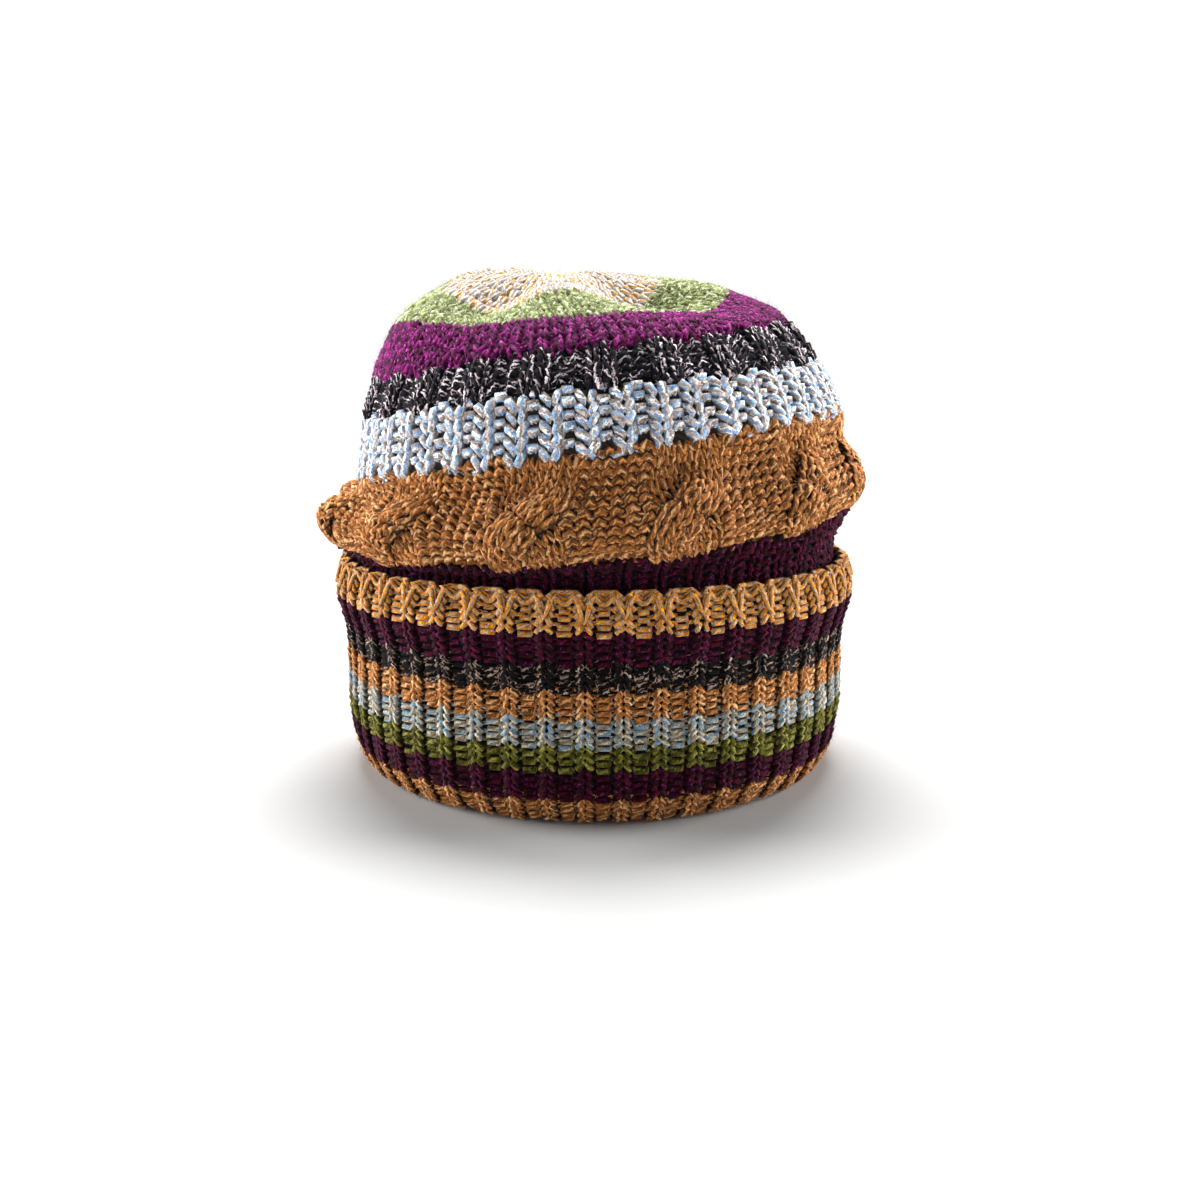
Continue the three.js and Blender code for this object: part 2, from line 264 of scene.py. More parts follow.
BODY_LEVELS = [
    Level("tuck_foot", -0.05, 0.991),
    Level("tuck_neck", 0.055, 0.996, 0.004, 0.0, 0.029, 0.021),
    Level("tuck_top", 0.115, 1.05, 0.002, 0.0, 0.081, 0.052),
    Level("cable_roll", 0.165, 1.083, -0.013, 0.0, 0.077, 0.047),
    Level("cable_fold", 0.232, 1.079, -0.013, 0.0, 0.073, 0.031),
    Level("cable_waist", 0.325, 1.035, 0.002, 0.0, 0.099, 0.008),
    Level("cable_top", 0.41, 1.005, 0.019, 0.0, 0.138, -0.013),
    Level("ice_top", 0.612, 0.935, -0.023, 0.0, 0.12, 0.015),
    Level("charcoal_top", 0.755, 0.833, -0.075, 0.008, 0.115, 0.021),
    Level("plum_top", 0.868, 0.665, -0.143, 0.021, 0.031, 0.0),
    Level("green_top", 0.95, 0.429, -0.194, 0.031, -0.005, 0.035),
    Level("tip_gather", 1.022, 0.188, -0.152, 0.031, 0.0, 0.016),
    Level("tip", 1.01, 0.0, -0.12, 0.026, 0.0, 0.0),
]

GATHERS = [
    Gather(-29, 21, -0.35, -1.0, 10, 1.1),
    Gather(9, 20, 0.1, 0.7, 10.2, 0.8),
    Gather(58, 19, -0.4, -1.2, 10, 1.1),
    Gather(88, 24, 0.6, 0.9, 9.5, 0.9),
    Gather(140, 45, 0.3, 2.2, 9.0, 1.5),
    Gather(176, 22, -0.3, -0.6, 10.4, 1.2),
    Gather(-128, 26, 0.3, 1.2, 9.8, 1.4),
    Gather(-80, 26, 0.1, 0.3, 10, 1.0),
    Gather(2, 35, 0, -0.45, 9, 0.6),
    Gather(-12, 32, 0, 0.65, 7.4, 1.2),
    Gather(90, 35, -0.25, 0, 4.6, 1.2),
]


def bell(x: np.ndarray) -> np.ndarray:
    """Gives a smooth bump that is 1 at 0 and fades out past 1."""
    return np.exp(-x * x)


def smooth_step(x: np.ndarray, low: float, high: float) -> np.ndarray:
    """Gives 0 below low, 1 above high, and a smooth rise between them."""
    share = np.clip((x - low) / (high - low), 0.0, 1.0)
    return share * share * (3 - 2 * share)


def turn_between(a: np.ndarray, b: float) -> np.ndarray:
    """Gives the degrees from b to a, from -180 to 180."""
    return (a - b + 180.0) % FULL_TURN - 180.0


def unit(vectors: np.ndarray) -> np.ndarray:
    """Scales each row of an array of vectors to a length of 1."""
    return vectors / np.maximum(np.linalg.norm(vectors, axis=-1, keepdims=True), 1e-12)


@dataclass
class Fabric:
    """A surface of knitting, as a table of levels, with its rows of stitches.

    Args:
        levels: the table, from the bottom up.
        radius: the length that the table's radius and sideways shares are of.
        foot: the height of the share 0.
        rise: the length that the table's height shares are of.
        gathers: folds that move the fabric.
        row_marks: pairs of a level's index and the row of stitches that starts there.
    """

    levels: list[Level]
    radius: float
    foot: float
    rise: float
    gathers: list[Gather]
    row_marks: list[tuple[int, int]]
    rows: np.ndarray = field(init=False)
    places: np.ndarray = field(init=False)

    def __post_init__(self) -> None:
        """Spaces the rows evenly along the fabric between one mark and the next."""
        rows, places = [], []
        for (low, first), (high, last) in zip(self.row_marks, self.row_marks[1:]):
            steps = np.linspace(low, high, 60)
            line = self.point(np.zeros_like(steps), steps)
            length = np.concatenate([[0.0], np.cumsum(np.linalg.norm(np.diff(line, axis=0), axis=1))])
            rows.append(first + (last - first) * length / length[-1])
            places.append(steps)
        self.rows, keep = np.unique(np.concatenate(rows), return_index=True)
        self.places = np.concatenate(places)[keep]

    def column(self, name: str, place: np.ndarray) -> np.ndarray:
        """Reads one column of the table along a smooth curve.

        Args:
            name: the column.
            place: places between levels.

        Returns:
            The column's value at each place.
        """
        values = np.array([getattr(level, name) for level in self.levels])
        last = len(values) - 1
        at = np.clip(place, 0, last)
        start = np.minimum(np.floor(at).astype(int), last - 1)
        share = at - start
        before, low = values[np.maximum(start - 1, 0)], values[start]
        high, after = values[start + 1], values[np.minimum(start + 2, last)]
        bend = 2 * before - 5 * low + 4 * high - after
        twist = 3 * (low - high) + after - before
        return low + 0.5 * share * (high - before + share * (bend + share * twist))

    def gathered(self, name: str, angle: np.ndarray, place: np.ndarray) -> np.ndarray:
        """Adds up how far the gathers move the fabric.

        Args:
            name: the gathers' column, out or lift.
            angle: degrees round the cap.
            place: places between levels.

        Returns:
            The distance at each point, in metres.
        """
        total = np.zeros_like(angle)
        for gather in self.gathers:
            across = bell(turn_between(angle, gather.angle) / gather.half_width)
            upward = bell((place - gather.level) / gather.reach)
            total += getattr(gather, name) * across * upward
        return GATHER_DEPTH * total

    def point(self, angle: np.ndarray, place: np.ndarray) -> np.ndarray:
        """Gives points of the fabric's outside, without ribs, cables or stitches.

        Args:
            angle: degrees round the cap.
            place: places between levels.

        Returns:
            An array of points, in metres.
        """
        turn = np.radians(angle)
        from_tip = smooth_step(len(self.levels) - 1 - place, 0, 2)
        radius = self.radius * self.column("radius", place)
        radius = radius + from_tip * self.gathered("out", angle, place)
        tilt = self.column("tilt", place) * np.sin(turn) - self.column("pitch", place) * np.cos(turn)
        x = self.radius * self.column("right", place) + radius * np.sin(turn)
        y = self.radius * self.column("back", place) - radius * np.cos(turn)
        z = self.foot + self.rise * self.column("height", place) + self.radius * tilt
        z = z + from_tip * self.gathered("lift", angle, place)
        return np.stack([x, y, z], axis=-1)

    def directions(self, angle: np.ndarray, place: np.ndarray) -> tuple[np.ndarray, np.ndarray]:
        """Gives the fabric's own directions at points.

        Args:
            angle: degrees round the cap.
            place: places between levels.

        Returns:
            Unit vectors out of the fabric, and unit vectors up along it.
        """
        step, turn_step = 1e-3, 0.05
        above = self.point(angle, np.minimum(place + step, len(self.levels) - 1))
        below = self.point(angle, np.maximum(place - step, 0))
        up = unit(above - below)
        around = unit(self.point(angle + turn_step, place) - self.point(angle - turn_step, place))
        return unit(np.cross(around, up)), up

    def place_of_row(self, row: np.ndarray) -> np.ndarray:
        """Gives the place in the table of each row of stitches, counted from the bottom."""
        return np.interp(row, self.rows, self.places)

    def row_height(self, row: float) -> float:
        """Gives the height of one row of stitches along the fabric at the front."""
        ends = self.point(np.zeros(2), self.place_of_row(np.array([row - 0.5, row + 0.5])))
        return float(np.linalg.norm(ends[1] - ends[0]))


CUFF_ROW_MARKS = [(0, 0), (2, 4), (3, 8), (4, 11), (5, 15), (6, 19), (7, 23), (8, 27), (9, 32)]
BODY_ROW_MARKS = [(0, 0), (2, 7), (6, 19), (7, 24), (8, 30), (9, 37), (10, 44), (12, 54)]
CUFF = Fabric(CUFF_LEVELS, CUFF_RADIUS, 0.0, CUFF_HEIGHT, [], CUFF_ROW_MARKS)
BODY = Fabric(BODY_LEVELS, BODY_RADIUS, CUFF_HEIGHT, CROWN_RISE, GATHERS, BODY_ROW_MARKS)


def add(tree: bpy.types.NodeTree, kind: str, settings: dict | None = None, **links: object) -> bpy.types.Node:
    """Adds a node with its settings and links.

    Args:
        tree: the node tree of a material or world.
        kind: the node's type.
        settings: values of the node's own properties.
        links: for each input, by its name with _ for a space or in0, in1 for its number, a socket or a value.

    Returns:
        The new node.
    """
    node = tree.nodes.new(kind)
    for name, value in (settings or {}).items():
        setattr(node, name, value)
    for name, value in links.items():
        key = int(name[2:]) if name[:2] == "in" and name[2:].isdigit() else name.replace("_", " ")
        if isinstance(value, bpy.types.NodeSocket):
            tree.links.new(value, node.inputs[key])
        else:
            node.inputs[key].default_value = value
    return node


def linear(colour: str) -> tuple[float, float, float, float]:
    """Turns an sRGB colour to a linear one.

    Args:
        colour: six hex digits, such as "5A1F55".

    Returns:
        Linear red, green, blue and alpha.
    """
    parts = [int(colour[i : i + 2], 16) / 255 for i in (0, 2, 4)]
    red, green, blue = [c / 12.92 if c <= 0.04045 else ((c + 0.055) / 1.055) ** 2.4 for c in parts]
    return red, green, blue, 1.0


@dataclass(frozen=True)
class Yarn:
    """A spun wool yarn: matt, fuzzy, and twisted from plies that may differ in colour.

    Args:
        name: plain name of the material.
        slot: the record's slot of this yarn; not used.
        plies: sRGB colours of the plies, in order round the yarn.
        shade: sRGB colour of the painted shade between stitches, on the yarn's back and in the ground.
        radius: of the yarn, in metres.
        turn: length along the yarn of one turn of its twist, in metres.
        fleck: sRGB colour of stray fibres.
        fleck_share: how much of the surface they take, from 0 to 1.
        mottle: how much the colour varies, from 0 to 1.
        breaks: how much of the pale plies is hidden in the dark ones, from 0 to 1.
        fuzz: fibres that stand out of each square centimetre.
        fuzz_length: their usual length, in metres.
        sheen: how strongly the fuzz catches light from behind.
        shade_strength: how dark the painted shade in its grooves and on its sides is, from 0 to 1.
    """

    name: str
    slot: str
    plies: tuple[str, ...]
    shade: str
    radius: float
    turn: float
    fleck: str
    fleck_share: float
    mottle: float
    breaks: float
    fuzz: float
    fuzz_length: float
    sheen: float = 0.06
    shade_strength: float = 0.85

    def material(self) -> bpy.types.Material:
        """Makes the finish of the yarn itself, which follows its UV map: metres along, turns round.
        Its grooves and back are darkened towards the shade colour, as painted shade.

        Returns:
            The new material.
        """
        made = bpy.data.materials.new(self.name)
        made.use_nodes = True
        tree = made.node_tree
        tree.nodes.clear()
        uv = add(tree, "ShaderNodeUVMap", {"uv_map": "yarn"})
        parts = add(tree, "ShaderNodeSeparateXYZ", in0=uv.outputs[0])
        along, around = parts.outputs[0], parts.outputs[1]
        turns = add(tree, "ShaderNodeMath", {"operation": "DIVIDE"}, in0=along, in1=self.turn)
        twist = add(tree, "ShaderNodeMath", {"operation": "ADD"}, in0=turns.outputs[0], in1=around)
        place = add(tree, "ShaderNodeTexCoord").outputs["Object"]
        waver = add(tree, "ShaderNodeTexNoise", Vector=place, Scale=1 / WAVER_SIZE, Detail=2.0)
        bent = add(
            tree, "ShaderNodeMath", {"operation": "MULTIPLY_ADD"},
            in0=waver.outputs[0], in1=WAVER_TURNS, in2=twist.outputs[0],
        )
        ply_place = add(tree, "ShaderNodeMath", {"operation": "FRACT"}, in0=bent.outputs[0])
        ramp = add(tree, "ShaderNodeValToRGB", Fac=ply_place.outputs[0])
        self.fill_ramp(ramp.color_ramp)

        # Pale plies dip out of sight for a few millimetres at a time, which leaves dashes.
        gaps = self.streaks(tree, along, bent.outputs[0], *GAP_STREAK)
        least = GAP_LEVEL + GAP_GAIN * self.breaks
        kept = add(tree, "ShaderNodeMapRange", Value=gaps, From_Min=least, From_Max=least + GAP_BLUR)
        broken = add(
            tree, "ShaderNodeMix", {"data_type": "RGBA"},
            in0=kept.outputs[0], in6=linear(self.plies[0]), in7=ramp.outputs[0],
        )

        # Fibres lie along the twist as fine streaks, some of them paler than the rest.
        fine = self.streaks(tree, along, bent.outputs[0], *FINE_STREAK)
        level = add(
            tree, "ShaderNodeMapRange",
            Value=fine, From_Min=FINE_LEVELS[0], From_Max=FINE_LEVELS[1],
            To_Min=1 - self.mottle, To_Max=1 + self.mottle,
        )
        mottled = add(
            tree, "ShaderNodeVectorMath", {"operation": "SCALE"},
            in0=broken.outputs[2], Scale=level.outputs[0],
        )
        stray = self.streaks(tree, along, bent.outputs[0], *STRAY_STREAK)
        edge = STRAY_LEVEL - STRAY_GAIN * self.fleck_share
        chosen = add(tree, "ShaderNodeMapRange", Value=stray, From_Min=edge, From_Max=edge + STRAY_BLUR)
        colour = add(
            tree, "ShaderNodeMix", {"data_type": "RGBA"},
            in0=chosen.outputs[0], in6=mottled.outputs[0], in7=linear(self.fleck),
        )

        # The grooves between the plies, and the yarn's sides and back, are darkened towards its shade
        # colour: painted shade, standing in for the shade of other fibres.
        wave = add(
            tree, "ShaderNodeMath", {"operation": "MULTIPLY"},
            in0=bent.outputs[0], in1=math.pi * len(self.plies),
        )
        swell = add(tree, "ShaderNodeMath", {"operation": "SINE"}, in0=wave.outputs[0])
        plump = add(tree, "ShaderNodeMath", {"operation": "ABSOLUTE"}, in0=swell.outputs[0])
        grooves = add(
            tree, "ShaderNodeMapRange",
            Value=plump.outputs[0], From_Max=GROOVE_WIDTH, To_Min=1 - GROOVE_SHARE * self.shade_strength, To_Max=1.0,
        )
        about = add(tree, "ShaderNodeMath", {"operation": "MULTIPLY"}, in0=around, in1=2 * math.pi)
        back = add(tree, "ShaderNodeMath", {"operation": "COSINE"}, in0=about.outputs[0])
        painted_back_shade = add(
            tree, "ShaderNodeMapRange", {"interpolation_type": "SMOOTHSTEP"},
            Value=back.outputs[0], From_Min=BACK_SHADE[0], From_Max=BACK_SHADE[1],
            To_Min=1 - self.shade_strength, To_Max=1.0,
        )
        open_share = add(
            tree, "ShaderNodeMath", {"operation": "MULTIPLY"},
            in0=grooves.outputs[0], in1=painted_back_shade.outputs[0],
        )
        shaded = add(
            tree, "ShaderNodeMix", {"data_type": "RGBA"},
            in0=open_share.outputs[0], in6=linear(self.shade), in7=colour.outputs[2],
        )
        fibres = add(
            tree, "ShaderNodeTexNoise",
            Vector=place, Scale=1 / FIBRE_SIZE, Detail=3.0, Roughness=0.8,
        )
        height = add(
            tree, "ShaderNodeMath", {"operation": "MULTIPLY_ADD"},
            in0=fibres.outputs[0], in1=FIBRE_RELIEF, in2=plump.outputs[0],
        )
        bump = add(
            tree, "ShaderNodeBump",
            Height=height.outputs[0], Strength=YARN_BUMP_STRENGTH, Distance=YARN_BUMP,
        )
        shader = add(
            tree, "ShaderNodeBsdfPrincipled",
            Base_Color=shaded.outputs[2], Normal=bump.outputs[0], Roughness=WOOL_ROUGHNESS,
            Sheen_Weight=self.sheen, Sheen_Roughness=SHEEN_ROUGHNESS, Specular_IOR_Level=WOOL_GLOSS,
        )
        add(tree, "ShaderNodeOutputMaterial", Surface=shader.outputs[0])
        return made

    def streaks(
        self,
        tree: bpy.types.NodeTree,
        along: bpy.types.NodeSocket,
        twist: bpy.types.NodeSocket,
        length: float,
        count: float,
    ) -> bpy.types.NodeSocket:
        """Adds noise that is stretched along the yarn's twist, as fibres are.

        Args:
            tree: the material's node tree.
            along: metres along the yarn.
            twist: turns round the yarn, with its twist taken in.
            length: how long one streak is, in metres.
            count: how many streaks lie side by side round the yarn.

        Returns:
            The socket of the noise, from 0 to 1.
        """
        far = add(tree, "ShaderNodeMath", {"operation": "DIVIDE"}, in0=along, in1=length)
        across = add(tree, "ShaderNodeMath", {"operation": "MULTIPLY"}, in0=twist, in1=count)
        spot = add(tree, "ShaderNodeCombineXYZ", in0=far.outputs[0], in1=across.outputs[0])
        return add(tree, "ShaderNodeTexNoise", Vector=spot.outputs[0], Scale=1.0, Detail=1.5).outputs[0]

    def fill_ramp(self, ramp: bpy.types.ColorRamp) -> None:
        """Gives each ply its share of a colour ramp, with a soft step to the next.

        Args:
            ramp: the new ramp, which gets two stops for each ply.
        """
        count = len(self.plies)
        blur = PLY_BLUR / count
        stops = []
        for i, colour in enumerate(self.plies):
            stops += [(i / count + blur, colour), ((i + 1) / count - blur, colour)]
        while len(ramp.elements) < len(stops):
            ramp.elements.new(0.5)
        for element, (position, colour) in zip(ramp.elements, stops):
            element.position = position
            element.color = linear(colour)

    def ground(self) -> bpy.types.Material:
        """Makes the finish of the fabric behind the stitches and of its inside: rows of purl bumps in the
        yarn's shade colour, darker between them: painted shade for the gaps between the stitches.

        Returns:
            The new material.
        """
        made = bpy.data.materials.new(self.name + "_ground")
        made.use_nodes = True
        tree = made.node_tree
        tree.nodes.clear()
        place = add(tree, "ShaderNodeTexCoord").outputs["Object"]
        parts = add(tree, "ShaderNodeSeparateXYZ", in0=place)
        turn = add(
            tree, "ShaderNodeMath", {"operation": "ARCTAN2"},
            in0=parts.outputs[0], in1=parts.outputs[1],
        )
        across = add(
            tree, "ShaderNodeMath", {"operation": "MULTIPLY"},
            in0=turn.outputs[0], in1=float(GROUND_STITCHES),
        )
        wave = add(tree, "ShaderNodeMath", {"operation": "COSINE"}, in0=across.outputs[0])
        lift = add(
            tree, "ShaderNodeMath", {"operation": "MULTIPLY_ADD"},
            in0=wave.outputs[0], in1=GROUND_WAVE, in2=parts.outputs[2],
        )
        rows = add(
            tree, "ShaderNodeMath", {"operation": "MULTIPLY"},
            in0=lift.outputs[0], in1=2 * math.pi / GROUND_ROW,
        )
        bumps = add(tree, "ShaderNodeMath", {"operation": "SINE"}, in0=rows.outputs[0])
        fibres = add(
            tree, "ShaderNodeTexNoise",
            Vector=place, Scale=1 / GROUND_FIBRE, Detail=3.0, Roughness=0.7,
        )
        height = add(
            tree, "ShaderNodeMath", {"operation": "MULTIPLY_ADD"},
            in0=fibres.outputs[0], in1=GROUND_RELIEF, in2=bumps.outputs[0],
        )
        bump = add(
            tree, "ShaderNodeBump",
            Height=height.outputs[0], Strength=GROUND_BUMP_STRENGTH, Distance=GROUND_BUMP,
        )
        # The ground takes the yarn's shade colour, darkest between the bumps: painted shade.
        level = add(
            tree, "ShaderNodeMapRange",
            Value=bumps.outputs[0], From_Min=-1.0, From_Max=1.0, To_Min=GROUND_PAINTED_SHADE, To_Max=1.0,
        )
        colour = add(
            tree, "ShaderNodeVectorMath", {"operation": "SCALE"},
            in0=linear(self.shade)[:3], Scale=level.outputs[0],
        )
        shader = add(
            tree, "ShaderNodeBsdfPrincipled",
            Base_Color=colour.outputs[0], Normal=bump.outputs[0],
            Roughness=GROUND_ROUGHNESS, Specular_IOR_Level=GROUND_GLOSS,
        )
        add(tree, "ShaderNodeOutputMaterial", Surface=shader.outputs[0])
        return made


# Spun marl: mustard and oatmeal plies twisted together, which reads as short gold dashes on beige.
MUSTARD = Yarn(
    name="mustard_marl_wool", slot="mustard_marl_yarn",
    plies=("F2970A", "C5AA8D", "E38207", "A99170", "F9A217", "BFA383", "DF7F05", "AC9274"),
    shade="180C03", radius=1.05 * MM, turn=13.0 * MM, fleck="F2DABB", fleck_share=0.35, mottle=0.6,
    breaks=0.0, fuzz=25, fuzz_length=1.6 * MM,
)
# Spun wool, dyed plum, with paler purple stray fibres. Its plies are darkened to a nearly black wine red
# as painted shade, for the cuff and the tuck, which lie in shade; the crown has a lit copy.
PLUM = Yarn(
    name="plum_wool", slot="plum_yarn",
    plies=("3E0219", "29010E", "4D0321", "20010A"),
    shade="060103", radius=1.1 * MM, turn=12.0 * MM, fleck="6E2868", fleck_share=0.45, mottle=0.9,
    breaks=0.0, fuzz=60, fuzz_length=2.0 * MM, sheen=0.02,
)
# A paler, pinker copy of the plum for the crown: its lighter plies and fibres are painted light where the
# crown is lit, with more fuzz and less painted shade than the cuff's.
PAINTED_LIT_PLUM = Yarn(
    name="plum_wool_painted_light", slot="plum_yarn",
    plies=("710E5B", "4D0336", "8E1973", "3D032A"),
    shade="16030F", radius=1.15 * MM, turn=12.0 * MM, fleck="C74BB1", fleck_share=0.45, mottle=0.9,
    breaks=0.0, fuzz=110, fuzz_length=1.8 * MM, sheen=0.06, shade_strength=0.65,
)
# Spun marl: near-black plies with a few pale ones that dip out of sight, which leaves white strokes.
CHARCOAL = Yarn(
    name="charcoal_marl_wool", slot="charcoal_marl_yarn",
    plies=(
        "16131E", "FCECF2", "101016", "1A1821", "14111C", "BCACAE", "101017", "1D1818", "131119", "E1D1D5",
    ),
    shade="030203", radius=1.1 * MM, turn=16.0 * MM, fleck="FCECF2", fleck_share=0.1, mottle=0.5,
    breaks=0.5, fuzz=40, fuzz_length=1.6 * MM, sheen=0.02,
)
# A darker copy of the same marl for the cuff's ribs: its plies, the pale ones browner, are darkened as
# painted shade where the cuff lies in shade.
PAINTED_SHADE_CHARCOAL = Yarn(
    name="charcoal_marl_wool_painted_shade", slot="charcoal_marl_yarn",
    plies=(
        "0C090D", "B49B8C", "090708", "0F0B0E", "0B080C", "877062", "090708", "110B09", "0A080A", "A2897A",
    ),
    shade="030203", radius=1.1 * MM, turn=16.0 * MM, fleck="B49B8C", fleck_share=0.1, mottle=0.5,
    breaks=0.5, fuzz=40, fuzz_length=1.6 * MM, sheen=0.02,
)
# Spun undyed camel-coloured wool: tan and brown plies, matt, with deep grooves between stitches that its
# strong painted shade makes dark.
CAMEL = Yarn(
    name="camel_wool", slot="camel_yarn",
    plies=("D79257", "975C2C", "E5AB71", "7A481E", "CD884B", "9B612B"),
    shade="1C0D03", radius=1.1 * MM, turn=13.0 * MM, fleck="F1BF88", fleck_share=0.3, mottle=0.6,
    breaks=0.0, fuzz=42, fuzz_length=1.8 * MM, sheen=0.06, shade_strength=0.97,
)
# Thick spun marl: cream, light blue and taupe plies, which reads as plump striped ovals.
ICE = Yarn(
    name="ice_marl_wool", slot="ice_marl_yarn",
    plies=(
        "FFFFFC", "8BBCEF", "F7E4DC", "B09F95", "A0C9F5", "FFFFFF", "C4B4AB", "85B1E0", "FFF4EC", "A0918B",
    ),
    shade="3A342F", radius=1.35 * MM, turn=18.0 * MM, fleck="FFFFFF", fleck_share=0.3, mottle=0.5,
    breaks=0.0, fuzz=30, fuzz_length=1.6 * MM,
)
# A darker, greyer copy of the same marl, drawn thin for the cuff's ribs: its darkness, and the near black
# between the ribs, is painted shade where the cuff lies in shade.
PAINTED_SHADE_ICE = Yarn(
    name="ice_marl_wool_painted_shade", slot="ice_marl_yarn",
    plies=("C9BBA7", "6C97B4", "BBAE97", "958874", "82A5BB", "CFC2AA", "857A66"),
    shade="120E0C", radius=1.1 * MM, turn=16.0 * MM, fleck="DFD6BE", fleck_share=0.3, mottle=0.5,
    breaks=0.0, fuzz=30, fuzz_length=1.6 * MM,
)
# Spun wool, dyed moss green and lightly hairy, with painted shade dark in its grooves. Its plies are
# darkened as painted shade for the cuff, which lies in shade; the crown has a lit copy.
GREEN = Yarn(
    name="green_wool", slot="green_yarn",
    plies=("726C27", "545316", "878239", "454410"),
    shade="080A02", radius=1.1 * MM, turn=12.0 * MM, fleck="A59D63", fleck_share=0.35, mottle=0.8,
    breaks=0.0, fuzz=60, fuzz_length=2.0 * MM, sheen=0.03,
)
# A paler copy of the same green for the crown: its lighter plies and fibres are painted light where the
# crown is lit, with more fuzz and less painted shade than the cuff's.
PAINTED_LIT_GREEN = Yarn(
    name="green_wool_painted_light", slot="green_yarn",
    plies=("A0AB70", "808752", "B8C093", "6E7641"),
    shade="2A2F12", radius=1.15 * MM, turn=12.0 * MM, fleck="E5EBDB", fleck_share=0.45, mottle=0.6,
    breaks=0.0, fuzz=110, fuzz_length=1.8 * MM, sheen=0.06, shade_strength=0.5,
)
# Spun marl: oatmeal plies with one of mustard, which reads as a pale top with thin gold strokes.
OATMEAL = Yarn(
    name="oatmeal_marl_wool", slot="oatmeal_marl_yarn",
    plies=("D7D1CC", "BCAFA6", "E1DCDA", "CA902C", "D4CBC5", "AC9D90", "DBD4D1", "CF9A40"),
    shade="4A3820", radius=1.3 * MM, turn=16.0 * MM, fleck="ECECED", fleck_share=0.25, mottle=0.3,
    breaks=0.0, fuzz=45, fuzz_length=2.0 * MM, sheen=0.06, shade_strength=0.6,
)


